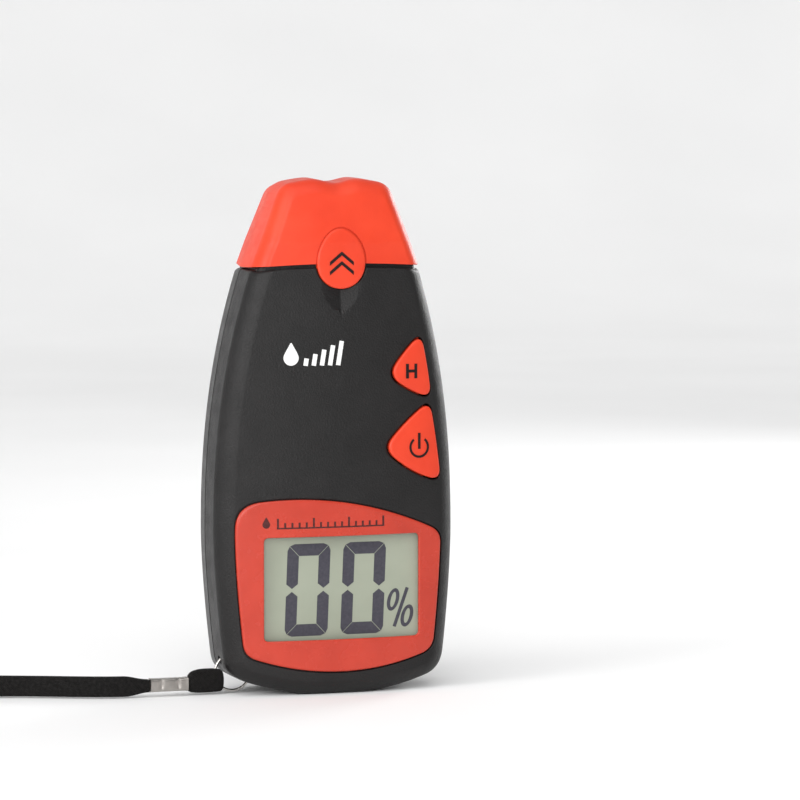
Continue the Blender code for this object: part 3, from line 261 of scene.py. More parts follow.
def finish(name, metallic=0.0, **sockets):
    """A new material with its Principled shader; the sockets given are constant."""
    made = bpy.data.materials.new("look_" + name)
    made.use_nodes = True
    shader = made.node_tree.nodes["Principled BSDF"]
    shader.inputs["Metallic"].default_value = metallic
    for socket, value in sockets.items():
        shader.inputs[socket.replace("_", " ")].default_value = value
    return made, made.node_tree, shader.inputs


def plastic(name, dark, light, roughness, grain, depth, spread=0.06, strength=0.6, **sockets):
    """Moulded plastic: a fine sparked skin, faint clouding and worn patches of gloss."""
    made, tree, inputs = finish(name, **sockets)
    clouds = noise(tree, 90.0, 4.0)
    link(tree, ramp(tree, clouds, dark, light), inputs["Base Color"])
    gloss = noise(tree, 260.0, 5.0)
    link(tree, ramp(tree, gloss, roughness - spread, roughness + spread), inputs["Roughness"])
    coarse = bump(tree, noise(tree, grain, 3.0, roughness=0.6), depth, strength)
    link(tree, coarse, inputs["Normal"])
    return made


def metal(name, dark, light, roughness, stretch, scale=900.0, depth=0.00001):
    """Bright metal with fine drawn lines along one axis."""
    made, tree, inputs = finish(name, 1.0)
    lines = noise(tree, scale, 3.0, stretch)
    link(tree, ramp(tree, noise(tree, 420.0, 4.0), dark, light), inputs["Base Color"])
    link(tree, ramp(tree, lines, roughness - 0.06, roughness + 0.10), inputs["Roughness"])
    link(tree, bump(tree, lines, depth, 0.35), inputs["Normal"])
    return made


def printed(name, dark, light, roughness=0.45):
    """A thin layer of ink, slightly uneven."""
    made, tree, inputs = finish(name, Specular_IOR_Level=0.25)
    link(tree, ramp(tree, noise(tree, 1500.0, 3.0), dark, light), inputs["Base Color"])
    link(tree, ramp(tree, noise(tree, 700.0, 2.0), roughness - 0.05, roughness + 0.08), inputs["Roughness"])
    return made


def woven(name):
    """Black nylon yarn: fine filaments, with a soft sheen."""
    made, tree, inputs = finish(name, Sheen_Weight=0.04, Sheen_Roughness=0.45, Specular_IOR_Level=0.18)
    inputs["Sheen Tint"].default_value = (0.5, 0.5, 0.52, 1.0)
    link(tree, ramp(tree, noise(tree, 1400.0, 4.0), (0.0025, 0.0022, 0.002), (0.010, 0.009, 0.0085)),
         inputs["Base Color"])
    link(tree, ramp(tree, noise(tree, 900.0), 0.72, 0.92), inputs["Roughness"])
    waves = node(tree, "ShaderNodeTexWave", wave_type="BANDS", bands_direction="DIAGONAL")
    waves.inputs["Scale"].default_value = 900.0
    waves.inputs["Distortion"].default_value = 3.0
    waves.inputs["Detail"].default_value = 3.0
    link(tree, node(tree, "ShaderNodeTexCoord").outputs["Object"], waves.inputs["Vector"])
    link(tree, bump(tree, waves.outputs["Fac"], 0.00012, 0.8), inputs["Normal"])
    return made


def board_finish():
    """Solder mask over copper tracks: cells of a coarse pattern, with their borders raised."""
    made, tree, inputs = finish("board_green", Coat_Weight=0.3, Coat_Roughness=0.2)
    tracks = node(tree, "ShaderNodeTexVoronoi", feature="DISTANCE_TO_EDGE", distance="CHEBYCHEV")
    tracks.inputs["Scale"].default_value = 260.0
    link(tree, node(tree, "ShaderNodeTexCoord").outputs["Object"], tracks.inputs["Vector"])
    link(tree, ramp(tree, tracks.outputs["Distance"], (0.03, 0.24, 0.09), (0.008, 0.10, 0.035), 0.06, 0.10),
         inputs["Base Color"])
    link(tree, ramp(tree, noise(tree, 300.0), 0.35, 0.5), inputs["Roughness"])
    link(tree, bump(tree, tracks.outputs["Distance"], 0.00005, 0.4), inputs["Normal"])
    return made


def lcd_finish():
    """The reflector behind the liquid crystal: an even grey-green with very fine grain under glass."""
    made, tree, inputs = finish("glass_grey", Coat_Weight=0.35, Coat_Roughness=0.08)
    link(tree, ramp(tree, noise(tree, 60.0, 3.0), (0.285, 0.312, 0.240), (0.325, 0.352, 0.275)),
         inputs["Base Color"])
    link(tree, ramp(tree, noise(tree, 4000.0), 0.42, 0.55), inputs["Roughness"])
    link(tree, bump(tree, noise(tree, 6000.0), 0.00001, 0.2), inputs["Normal"])
    return made


def battery_finish():
    """A plain wrap: dark with a bronze band round the top, split by height alone."""
    made, tree, inputs = finish("battery_wrap", Coat_Weight=0.4, Coat_Roughness=0.15)
    parts = node(tree, "ShaderNodeSeparateXYZ")
    link(tree, node(tree, "ShaderNodeTexCoord").outputs["Object"], parts.inputs["Vector"])
    split = (BATTERY_FOOT + 34.0) * MM
    link(tree, ramp(tree, ramp(tree, parts.outputs["Z"], 0.0, 1.0, split, split + 0.0002),
                    (0.015, 0.015, 0.017), (0.42, 0.22, 0.07), 0.4, 0.6), inputs["Base Color"])
    link(tree, ramp(tree, noise(tree, 240.0, 3.0), 0.28, 0.42), inputs["Roughness"])
    link(tree, bump(tree, noise(tree, 160.0, 2.0), 0.00006, 0.3), inputs["Normal"])
    return made


LOOKS = {
    "case_black": plastic("case_black", (0.0085, 0.0079, 0.0079), (0.0130, 0.0121, 0.0121), 0.40,
                          2000.0, 0.00022, 0.06, 0.8, Specular_IOR_Level=0.29),
    "inner_black": plastic("inner_black", (0.012, 0.012, 0.012), (0.019, 0.019, 0.019), 0.52,
                           2200.0, 0.00003),
    "signal_red": plastic("signal_red", (0.69, 0.043, 0.013), (0.76, 0.055, 0.018), 0.42, 3400.0, 0.00005,
                          Subsurface_Weight=0.04, Subsurface_Scale=0.0008, Specular_IOR_Level=0.35),
    "frame_red": plastic("frame_red", (0.46, 0.036, 0.018), (0.54, 0.046, 0.024), 0.26, 1800.0, 0.00001,
                         0.04, 0.3, Coat_Weight=0.08, Coat_Roughness=0.15, Specular_IOR_Level=0.38),
    "nickel": metal("nickel", (0.44, 0.42, 0.40), (0.56, 0.54, 0.51), 0.20, (1.0, 1.0, 0.05)),
    "brass": metal("brass", (0.60, 0.46, 0.25), (0.80, 0.66, 0.42), 0.28, (1.0, 1.0, 0.1)),
    "steel": metal("steel", (0.33, 0.31, 0.29), (0.42, 0.395, 0.37), 0.32, (0.08, 1.0, 1.0)),
    "glass_grey": lcd_finish(),
    "white_plastic": plastic("white_plastic", (0.66, 0.66, 0.63), (0.76, 0.76, 0.73), 0.42, 2600.0, 0.00002),
    "silicone": plastic("silicone", (0.42, 0.22, 0.20), (0.60, 0.34, 0.32), 0.66, 5200.0, 0.00004),
    "board_green": board_finish(),
    "battery_wrap": battery_finish(),
    "lead_red": plastic("lead_red", (0.50, 0.012, 0.012), (0.64, 0.03, 0.03), 0.40, 1500.0, 0.00003),
    "lead_black": plastic("lead_black", (0.010, 0.010, 0.010), (0.025, 0.025, 0.025), 0.40, 1500.0, 0.00003),
    "foam": plastic("foam", (0.030, 0.030, 0.030), (0.075, 0.075, 0.075), 0.92, 1500.0, 0.0003, 0.05, 1.0),
    "webbing": woven("webbing"),
}
BLACK, RED, STEEL = LOOKS["case_black"], LOOKS["signal_red"], LOOKS["steel"]
LCD_INK = printed("lcd_ink", (0.048, 0.046, 0.060), (0.064, 0.062, 0.078), 0.5)
DARK_INK = printed("dark_ink", (0.006, 0.003, 0.003), (0.014, 0.007, 0.007), 0.55)
LABEL_INK = printed("label_ink", (0.050, 0.010, 0.010), (0.095, 0.022, 0.020))
WHITE_INK = printed("white_ink", (0.78, 0.78, 0.77), (0.88, 0.88, 0.87), 0.5)


# ==== making meshes ===========================================================================
def add_object(name, shape, look):
    """An object from a bmesh whose points are in millimetres."""
    bmesh.ops.remove_doubles(shape, verts=shape.verts, dist=0.0001)
    bmesh.ops.recalc_face_normals(shape, faces=shape.faces)
    bmesh.ops.scale(shape, vec=(MM, MM, MM), verts=shape.verts)
    mesh = bpy.data.meshes.new(name)
    shape.to_mesh(mesh)
    shape.free()
    mesh.materials.append(look)
    made = bpy.data.objects.new(name, mesh)
    bpy.context.scene.collection.objects.link(made)
    return made


def add_rings(shape, rings, capped=True):
    """Skin rings of equally many points into a bmesh, as a closed solid."""
    rows = [[shape.verts.new(point) for point in ring] for ring in rings]
    count = len(rows[0])
    for low, high in zip(rows, rows[1:]):
        for i in range(count):
            j = (i + 1) % count
            shape.faces.new((low[i], low[j], high[j], high[i]))
    if capped:
        shape.faces.new(rows[0])
        shape.faces.new(rows[-1])


def loft(name, rings, look):
    shape = bmesh.new()
    add_rings(shape, rings)
    return add_object(name, shape, look)


def slab(name, outline, y_front, y_back, look):
    """An outline of (x, z) points, extruded along Y."""
    return loft(name, [[(x, y, z) for x, z in outline] for y in (y_front, y_back)], look)


def block(name, x, y, z, look, rounding=0.0):
    corners = [(x[0], z[0]), (x[1], z[0]), (x[1], z[1]), (x[0], z[1])]
    return slab(name, rounded_polygon(corners, rounding) if rounding else corners, y[0], y[1], look)


def turn_rings(profile, place, axis, sides):
    """Rings of a profile of (radius, distance) points turned about an axis; no radius may be 0."""
    turn = Vector((0, 0, 1)).rotation_difference(Vector(axis)).to_matrix()
    rings = []
    for radius, height in profile:
        angles = [2 * math.pi * (i + 0.5) / sides for i in range(sides)]
        rings.append([turn @ Vector((radius * math.cos(a), radius * math.sin(a), height)) + Vector(place)
                      for a in angles])
    return rings


def turned(name, profile, place, axis, look, sides=32):
    return loft(name, turn_rings(profile, place, axis, sides), look)


def rod(name, place, axis, radius, start, end, look, sides=32):
    return turned(name, [(radius, start), (radius, end)], place, axis, look, sides)


def ring_solid(name, place, radius, wire, look, steps=96, sides=20):
    """A torus whose plane is parallel to XZ."""
    shape = bmesh.new()
    rings = []
    for i in range(steps + 1):
        turn = 2 * math.pi * i / steps
        ring = []
        for k in range(sides):
            roll = 2 * math.pi * (k + 0.5) / sides
            reach = radius + wire * math.cos(roll)
            ring.append((place[0] + reach * math.cos(turn), place[1] + wire * math.sin(roll),
                         place[2] + reach * math.sin(turn)))
        rings.append(ring)
    add_rings(shape, rings, capped=False)
    return add_object(name, shape, look)


def combine(target, tool, operation):
    """Apply a Boolean with a tool, which is used up."""
    step = target.modifiers.new(operation, "BOOLEAN")
    step.operation = operation
    step.solver = "EXACT"
    step.object = tool
    bpy.context.view_layer.update()
    graph = bpy.context.evaluated_depsgraph_get()
    result = bpy.data.meshes.new_from_object(target.evaluated_get(graph))
    target.modifiers.clear()
    target.data = result
    bpy.data.objects.remove(tool)


def cut(target, *tools):
    for tool in tools:
        combine(target, tool, "DIFFERENCE")


def join(target, *tools):
    for tool in tools:
        combine(target, tool, "UNION")


@contextmanager
def edited(target):
    """A piece's mesh, open for changes."""
    shape = bmesh.new()
    shape.from_mesh(target.data)
    yield shape
    shape.to_mesh(target.data)
    shape.free()


def weld(shape):
    bmesh.ops.remove_doubles(shape, verts=shape.verts, dist=0.002 * MM)


def slice_mesh(shape, axis, places):
    """Cut a mesh's faces along planes square to an axis, at places in millimetres."""
    normal = Vector([float(i == axis) for i in range(3)])
    for place in places:
        whole = list(shape.verts) + list(shape.edges) + list(shape.faces)
        bmesh.ops.bisect_plane(shape, geom=whole, dist=0.0005 * MM, plane_co=normal * place * MM,
                               plane_no=normal)


def merge(target, *others):
    """Add other objects' meshes to a target as they are."""
    with edited(target) as shape:
        for other in others:
            shape.from_mesh(other.data)
            bpy.data.objects.remove(other)


def soften(target, width, segments=3, angle=30.0):
    """Round every edge sharper than an angle."""
    with edited(target) as shape:
        weld(shape)
        sharp = [edge for edge in shape.edges
                 if len(edge.link_faces) == 2 and edge.calc_face_angle() > math.radians(angle)]
        bmesh.ops.bevel(shape, geom=sharp, offset=width * MM, segments=segments, profile=0.5,
                        affect="EDGES", clamp_overlap=True)


def shade(target, angle=35.0):
    """Weld what a Boolean left apart, and shade the round parts smooth."""
    with edited(target) as shape:
        weld(shape)
        bmesh.ops.dissolve_degenerate(shape, edges=shape.edges, dist=0.001 * MM)
        bmesh.ops.triangulate(shape, faces=[face for face in shape.faces if len(face.verts) > 4])
    target.data.shade_smooth()
    target.data.set_sharp_from_angle(angle=math.radians(angle))
    weights = target.modifiers.new("weights", "WEIGHTED_NORMAL")
    weights.keep_sharp = True
    return target


def place_piece(target, body, slot, *nodes):
    """Ride on a body and stand for CAD nodes, which are hidden; the slot is not used."""
    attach(target, body)
    if nodes:
        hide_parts(*nodes)
    return target


def crown_at(x):
    return x * x / (2 * CROWN_RADIUS)


def crown(target, step=CROWN_STEP):
    """Bend a flat piece back to the sides, all of it in front and none of it at the parting."""
    with edited(target) as shape:
        bmesh.ops.triangulate(shape, faces=shape.faces)
        strips = int(max(abs(vert.co.x) for vert in shape.verts) / MM / step)
        slice_mesh(shape, 0, [i * step for i in range(-strips, strips + 1)])
        for vert in shape.verts:
            share = (PARTING - vert.co.y / MM) / (PARTING - CROWN_FULL)
            vert.co.y += crown_at(vert.co.x / MM) * MM * min(max(share, 0.0), 1.0)


# ==== outlines ================================================================================
def rounded_loop(edges, corner_steps=10):
    """A closed outline from edges, each (curve, start, end, steps, rounding at its end)."""
    points = []
    for i, (curve, start, end, steps, rounding) in enumerate(edges):
        before = edges[i - 1][4]
        sign = math.copysign(1.0, end - start)
        first, last = start + sign * before, end - sign * rounding
        points += [curve(first + (last - first) * k / steps) for k in range(steps + 1)]
        after, next_start, next_end = edges[(i + 1) % len(edges)][:3]
        leave = Vector(points[-1])
        corner = Vector(curve(end))
        arrive = Vector(after(next_start + math.copysign(rounding, next_end - next_start)))
        for k in range(1, corner_steps):
            t = k / corner_steps
            point = leave * (1 - t) ** 2 + corner * 2 * t * (1 - t) + arrive * t * t
            points.append(tuple(point))
    return points


def rounded_polygon(corners, rounding, bulges=None, steps=1, corner_steps=10):
    """A polygon with rounded corners, whose sides may bulge outwards; corners run anticlockwise."""
    edges = []
    for i, start in enumerate(corners):
        end = corners[(i + 1) % len(corners)]
        side = Vector(end) - Vector(start)
        out = Vector((side.y, -side.x)).normalized()
        bulge = bulges[i] if bulges else 0.0

        def curve(u, start=start, side=side, out=out, bulge=bulge):
            t = u / side.length
            return tuple(Vector(start) + side * t + out * (4 * bulge * t * (1 - t)))

        edges.append((curve, 0.0, side.length, steps, rounding))
    return rounded_loop(edges, corner_steps)


def case_side(z):
    """The case's half-width at a height."""
    if z > WIDEST_HEIGHT:
        share = (z - WIDEST_HEIGHT) / (CASE_TOP - WIDEST_HEIGHT)
        return CASE_EDGE - TOP_NARROWING * share ** TOP_NARROWING_POWER
    share = (WIDEST_HEIGHT - z) / WIDEST_HEIGHT
    return CASE_EDGE - BOTTOM_NARROWING * share ** BOTTOM_NARROWING_POWER


def arc_rise(x, radius, flat=0.0):
    start = radius - math.sqrt(radius ** 2 - flat ** 2)
    return max(radius - math.sqrt(radius ** 2 - x * x) - start, 0.0)


def case_bottom(x):
    return arc_rise(x, BOTTOM_RADIUS, FOOT_HALF)


def case_top(x):
    return CASE_TOP + TOP_ARCH * (1 - (x / case_side(CASE_TOP)) ** 2)


def crossing(side, level, guess):
    """Where a side, x of z, meets a level, z of x."""
    x = side(guess)
    for _ in range(12):
        x = side(level(x))
    return x, level(x)


def mirrored_loop(side, bottom, top, bottom_rounding, top_rounding, steps):
    """An outline that is the same on both sides, from its bottom, side and top curves."""
    x_low, z_low = crossing(side, bottom, bottom(0))
    x_high, z_high = crossing(side, top, top(0))
    across, up, over = steps
    edges = [(lambda x: (x, bottom(x)), -x_low, x_low, across, bottom_rounding),
             (lambda z: (side(z), z), z_low, z_high, up, top_rounding),
             (lambda x: (x, top(x)), x_high, -x_high, over, top_rounding),
             (lambda z: (-side(z), z), z_high, z_low, up, bottom_rounding)]
    return rounded_loop(edges)


def case_outline(inset, top_inset=None):
    """The case's outline seen from the front, moved inwards; the foot stays flat for longer."""
    lower_top = min(inset, 0.5) if top_inset is None else top_inset
    raised_foot = max(inset - FOOT_DEPTH_INSET, 0.0) if top_inset is None else top_inset
    return mirrored_loop(lambda z: case_side(z) - inset,
                         lambda x: case_bottom(x) + raised_foot,
                         lambda x: case_top(x) - lower_top,
                         max(BOTTOM_CORNER - 0.55 * inset, 1.5), TOP_CORNER, (30, 40, 20))


def cap_side(z):
    return CAP_HALF_WIDTH - CAP_TAPER * (z - CASE_TOP - GAP)


def neck_side(z):
    return cap_side(z) - NECK_STEP


def cap_crest(x):
    """The cap's top edge: a dip between two low bumps, falling off to the shoulders."""
    reach = abs(x)
    if reach < CAP_BUMP_PLACE:
        return CAP_TOP + CAP_BUMP * math.sin(math.pi / 2 * reach / CAP_BUMP_PLACE) ** 2
    share = (reach - CAP_BUMP_PLACE) / (cap_side(CAP_TOP) - CAP_BUMP_PLACE)
    return CAP_TOP + CAP_BUMP - CAP_SHOULDER_DROP * share ** 1.5


def cap_outline(inset):
    return mirrored_loop(lambda z: cap_side(z) - inset,
                         lambda x: case_top(x) + GAP + min(inset, 0.4),
                         lambda x: cap_crest(x) - inset,
                         0.4, max(CAP_TOP_CORNER - 0.4 * inset, 0.8), (20, 12, 60))


def neck_outline(grow, low, high, draw=0.0, drop=0.0):
    """The neck's outline between two heights, moved outwards by grow and inwards by draw."""
    return mirrored_loop(lambda z: neck_side(z) + grow - draw, lambda x: low, lambda x: high - drop,
                         0.4, 1.0, (20, 8, 20))


def pad_outline(grow, steps=96):
    """The egg shape of the cap's grip pad."""
    points = []
    for i in range(steps):
        angle = 2 * math.pi * i / steps
        half = PAD_HALF_WIDTH * (1 - PAD_EGG * math.sin(angle)) + grow
        points.append((half * math.cos(angle), PAD_CENTRE + (PAD_HALF_HEIGHT + grow) * math.sin(angle)))
    return points


def window_outline(border):
    half_width, half_height = WINDOW_WIDTH / 2 + border, WINDOW_HEIGHT / 2 + border
    corners = [(WINDOW_X - half_width, WINDOW_Z - half_height),
               (WINDOW_X + half_width, WINDOW_Z - half_height),
               (WINDOW_X + half_width, WINDOW_Z + half_height),
               (WINDOW_X - half_width, WINDOW_Z + half_height)]
    return rounded_polygon(corners, WINDOW_CORNER, steps=1)


def frame_outline(grow):
    """The display frame: its sides and bottom follow the case, its top is an arc that falls to +X."""
    def side(z):
        return case_side(z) - FACE_INSET + grow

    def bottom(x):
        return FRAME_BOTTOM + arc_rise(x, FRAME_BOTTOM_RADIUS) - grow

    def top(x):
        return FRAME_PEAK - (x - FRAME_PEAK_X) ** 2 / (2 * FRAME_TOP_RADIUS) + grow

    x_low, z_low = crossing(side, bottom, 10.0)
    x_right, z_right = crossing(side, top, 40.0)
    x_left, z_left = crossing(lambda z: -side(z), top, 50.0)
    edges = [(lambda x: (x, bottom(x)), -x_low, x_low, 30, 3.2),
             (lambda z: (side(z), z), z_low, z_right, 16, 3.0),
             (lambda x: (x, top(x)), x_right, x_left, 36, 6.5),
             (lambda z: (-side(z), z), z_left, z_low, 16, 3.2)]
    return rounded_loop(edges)


def button_outline(corners, bulges, grow):
    """A button's rounded triangle, moved outwards from its middle by grow."""
    middle = sum((Vector(c) for c in corners), Vector((0, 0))) / 3
    moved = [tuple(Vector(c) + (Vector(c) - middle).normalized() * 2 * grow) for c in corners]
    return rounded_polygon(moved, BUTTON_CORNER, bulges, steps=12)


def levels(rows, outline):
    """Rings of an outline, one for each row (y, inset)."""
    return [[(x, y, z) for x, z in outline(inset)] for y, inset in rows]


def rolled_edge(side, face, power, steps=10):
    """Rows (y, inset) that roll from the side into a flat face along a superellipse."""
    (y_side, inset_side), (y_face, inset_face) = side, face
    rows = []
    for i in range(steps + 1):
        angle = math.pi / 2 * i / steps
        across = math.cos(angle) ** (2 / power) if i < steps else 0.0
        along = math.sin(angle) ** (2 / power)
        rows.append((y_side + (y_face - y_side) * along, inset_face - (inset_face - inset_side) * across))
    return rows


def hole_rows(edge, depth, grow, radius=0.3, steps=4):
    """Rows for a cutter that leaves a rounded rim where it goes in through the front face."""
    rows = [(edge - 2, grow + radius)]
    for i in range(steps + 1):
        angle = math.pi / 2 * i / steps
        rows.append((edge + radius * (1 - math.cos(angle)), grow + radius * (1 - math.sin(angle))))
    return rows + [(depth, grow)]


# ==== case ====================================================================================
def case_screws():
    upper_z = CASE_TOP - UPPER_SCREW_DROP
    upper_x = case_side(upper_z) - UPPER_SCREW_EDGE
    pairs = ((LOWER_SCREW_X, LOWER_SCREW_Z), (upper_x, upper_z))
    return [(side * x, z) for x, z in pairs for side in (-1, 1)]


def front_rows():
    roll = rolled_edge((CROWN_FULL, 0.25), (FRONT_FACE, FACE_INSET), 1.55, 14)
    return [(PARTING, SEAM), (PARTING - SEAM, 0.0)] + roll


def back_roll():
    return rolled_edge((BACK_FACE - 2.5, 1.1), (BACK_FACE, 3.3), 1.8)


def back_rows():
    return [(PARTING + GAP, SEAM), (PARTING + GAP + SEAM, 0.0)] + back_roll()


def neck_rings(rows, grow, low, high, edge):
    """Rings of the neck, whose top edge is rounded over the last rows."""
    face = rows[-1][0]
    rings = []
    for y, draw in rows:
        near = max(1 - abs(face - y) / edge, 0.0) if edge else 0.0
        drop = edge * (1 - math.sqrt(1 - near * near)) if edge else 0.0
        rings.append([(x, y, z) for x, z in neck_outline(grow, low, high, draw, drop)])
    return rings


def front_neck(name, grow, low, high, front_grow, edge=0.0):
    face = FRONT_FACE + NECK_STEP - front_grow
    rows = [(PARTING + (1 if grow < 0 else 0), 0.0)] + rolled_edge((face + 1.8, 0.2), (face, 2.2), 1.75)
    return loft(name, neck_rings(rows, grow, low, high, edge), BLACK)


def back_neck(name, grow, low, high, back_grow, edge=0.0):
    face = BACK_FACE - NECK_STEP + back_grow
    rows = [(PARTING + GAP - (1 if grow < 0 else 0), 0.0)] + rolled_edge((face - 1.4, 0.6), (face, 2.2), 1.75)
    return loft(name, neck_rings(rows, grow, low, high, edge), BLACK)


def thumb_scoop():
    """A pointed valley of two facets, from the pad's recess down to a tip."""
    pad_bottom = PAD_CENTRE - PAD_HALF_HEIGHT
    start, tip = pad_bottom + SCOOP_OVERLAP, pad_bottom - SCOOP_LENGTH
    above = FRONT_FACE - 1.0
    rings = []
    steps = 10
    for i in range(steps + 1):
        fall = i / steps
        z = start + (tip - start) * fall
        half = max(SCOOP_HALF_WIDTH * (1 - fall ** 2.4), 0.4)
        depth = max(SCOOP_DEPTH * (1 - fall ** 2.0), 0.05)
        flare = half * (1 + 1.0 / depth) if depth > 0.5 else half + 0.4
        rings.append([(-flare, above, z), (flare, above, z), (0.35, FRONT_FACE + depth - 0.1, z),
                      (0.0, FRONT_FACE + depth, z), (-0.35, FRONT_FACE + depth - 0.1, z)])
    return loft("scoop", rings, BLACK)


def make_front_shell():
    shell = loft("front_case", levels(front_rows(), case_outline), BLACK)
    join(shell, front_neck("neck", 0.0, CASE_TOP - NECK_ROOT, NECK_TOP, 0.0, NECK_EDGE))
    inner = FRONT_FACE + FRONT_WALL
    rows = [(PARTING + 1, SIDE_WALL), (CROWN_FULL + 0.6, SIDE_WALL + 0.25), (inner + 1.2, SIDE_WALL + 1.4),
            (inner, FACE_INSET - 0.4)]
    room = loft("room", levels(rows, lambda inset: case_outline(inset, SIDE_WALL)), BLACK)
    join(room, front_neck("neck_room", -NECK_WALL, CASE_TOP - NECK_ROOT - 4, NECK_TOP + 2, -NECK_WALL))
    pad_bottom = PAD_CENTRE - PAD_HALF_HEIGHT
    for low, wall in ((pad_bottom - SCOOP_LENGTH - 0.8, BACKING_WALL),
                      (pad_bottom - 0.3, BACKING_WALL + 0.8)):
        cut(room, block("scoop_backing", (-BACKING_HALF_WIDTH, BACKING_HALF_WIDTH),
                        (FRONT_FACE, FRONT_FACE + NECK_STEP + wall), (low, CASE_TOP + 0.5), BLACK))
    for x, z in case_screws():
        cut(room, rod("boss", (x, 0, z), (0, 1, 0), BOSS_RADIUS, FRONT_FACE, PARTING + 2, BLACK, 24))
    reach = RING_RADIUS + RING_TUNNEL
    cut(room, block("corner", (RING_CENTRE.x - reach - 4, RING_CENTRE.x + reach + 0.7),
                    (RING_CENTRE.y - 4, PARTING + 2), (-1, RING_CENTRE.z + reach + 0.6), BLACK))
    cut(shell, room)
    floor = FRONT_FACE - FRAME_PROUD + FRAME_THICKNESS + GAP
    cut(shell,
        loft("pocket", levels(hole_rows(FRONT_FACE, floor, GAP, 0.35), frame_outline), BLACK),
        slab("opening", window_outline(GLASS_BORDER + GAP), FRONT_FACE - 3, CROWN_FULL + 1, BLACK))
    for corners, bulges in ((HOLD_CORNERS, HOLD_BULGES), (POWER_CORNERS, POWER_BULGES)):
        cut(shell, loft("hole", levels(hole_rows(FRONT_FACE, CROWN_FULL, GAP, 0.3),
                                       lambda grow, c=corners, b=bulges: button_outline(c, b, grow)), BLACK))
    cut(shell,
        loft("recess", levels(hole_rows(FRONT_FACE, FRONT_FACE + NECK_STEP, GAP, 0.3), pad_outline), BLACK),
        thumb_scoop(),
        block("notch", (-NOTCH_WIDTH / 2, NOTCH_WIDTH / 2),
              (FRONT_FACE - 1, FRONT_FACE + NECK_STEP + NOTCH_DEPTH),
              (NOTCH_CENTRE - NOTCH_HEIGHT / 2, NOTCH_CENTRE + NOTCH_HEIGHT / 2), BLACK, 0.5))
    crown(shell)
    cut(shell, ring_solid("tunnel", RING_CENTRE, RING_RADIUS, RING_TUNNEL, BLACK, 72, 20))
    place_piece(shade(shell), "root", "case_black", "front_shell")


def make_back_shell():
    shell = loft("back_case", levels(back_rows(), case_outline), BLACK)
    join(shell, back_neck("neck", 0.0, CASE_TOP - NECK_ROOT, NECK_TOP, 0.0, NECK_EDGE))
    inner = BACK_FACE - BACK_WALL
    rows = [(PARTING + GAP - 1, SIDE_WALL), (inner - 1.0, SIDE_WALL + 1.1), (inner, SIDE_WALL + 2.0)]
    room = loft("room", levels(rows, lambda inset: case_outline(inset, SIDE_WALL)), BLACK)
    join(room, back_neck("neck_room", -NECK_WALL, CASE_TOP - NECK_ROOT - 4, NECK_TOP + 2, -NECK_WALL))
    for x, z in case_screws():
        cut(room, rod("boss", (x, 0, z), (0, 1, 0), BACK_BOSS_RADIUS, 0, BACK_FACE, BLACK, 24))
    cut(shell, room)
    half = DOOR_HALF + GAP
    hinge_room = DOOR_EDGE_RADIUS + GAP
    y_axis = BACK_FACE - DOOR_THICKNESS + DOOR_EDGE_RADIUS
    cut(shell,
        block("door_opening", (-half, half), (0, BACK_FACE + 2),
              (DOOR_HINGE_HEIGHT - hinge_room, DOOR_TOP + GAP), BLACK),
        rod("pivot_room", (0, y_axis, DOOR_HINGE_HEIGHT), (1, 0, 0), DOOR_PIVOT_RADIUS + GAP - 0.05,
            -half - DOOR_PIVOT_LENGTH, half + DOOR_PIVOT_LENGTH, BLACK, 24),
        block("finger_notch", (-6, 6), (BACK_FACE - 0.9, BACK_FACE + 1), (DOOR_TOP - 1, DOOR_TOP + 2.2),
              BLACK, 1.0))
    seat = BACK_FACE - SCREW_SINK - SCREW_HEAD_HEIGHT
    for x, z in case_screws():
        rim = SCREW_HEAD_RADIUS + GAP
        cut(shell,
            turned("head_room", [(rim, seat - GAP), (rim, BACK_FACE - 0.3), (rim + 0.3, BACK_FACE),
                                 (rim + 0.3, BACK_FACE + 1)], (x, 0, z), (0, 1, 0), BLACK, 40),
            rod("shank_room", (x, 0, z), (0, 1, 0), SCREW_RADIUS + GAP, 0, BACK_FACE, BLACK, 24))
    for i in range(GRIP_COUNT):
        height = GRIP_LOWEST + GRIP_PITCH * i
        reach = 15.0 - 0.6 * abs(i - (GRIP_COUNT - 1) / 2)
        cut(shell, block("grip", (-reach, reach), (BACK_FACE - GRIP_DEPTH, BACK_FACE + 1),
                         (height - 0.5, height + 0.5), BLACK, 0.5))
    place_piece(shade(shell), "root", "case_black", "back_shell")


# ==== neck, pins and cap ======================================================================
def pin_places():
    """The number and the place of each pin, read from the frame."""
    for i in range(1, 5):
        low, high = box_mm(f"electrode_pin_{i}")
        yield i, (low.x + high.x) / 2, (low.y + high.y) / 2


def make_electrode_plate():
    half = neck_side(NECK_TOP) - NECK_WALL - 3 * GAP
    front = FRONT_FACE + NECK_STEP + NECK_WALL + GAP
    back = BACK_FACE - NECK_STEP - NECK_WALL - GAP
    corners = [(-half, front), (half, front), (half, back), (-half, back)]
    outline = rounded_polygon(corners, PLATE_CORNER, steps=16)
    rows = [(NECK_TOP - PLATE_THICKNESS, 0.0), (NECK_TOP - 0.3, 0.0), (NECK_TOP - 0.09, 0.09),
            (NECK_TOP, 0.3)]
    middle = (front + back) / 2
    rings = []
    for z, inset in rows:
        wide, deep = 1 - inset / half, 1 - inset / ((back - front) / 2)
        rings.append([(x * wide, middle + (y - middle) * deep, z) for x, y in outline])
    plate = loft("pin_plate", rings, RED)
    crown(plate)
    for _, x, y in pin_places():
        cut(plate, rod("pin_hole", (x, y, 0), (0, 0, 1), STUD_RADIUS + GAP, NECK_TOP - 9, NECK_TOP + 1,
                       RED))
    place_piece(shade(plate), "root", "signal_red", "electrode_plate")


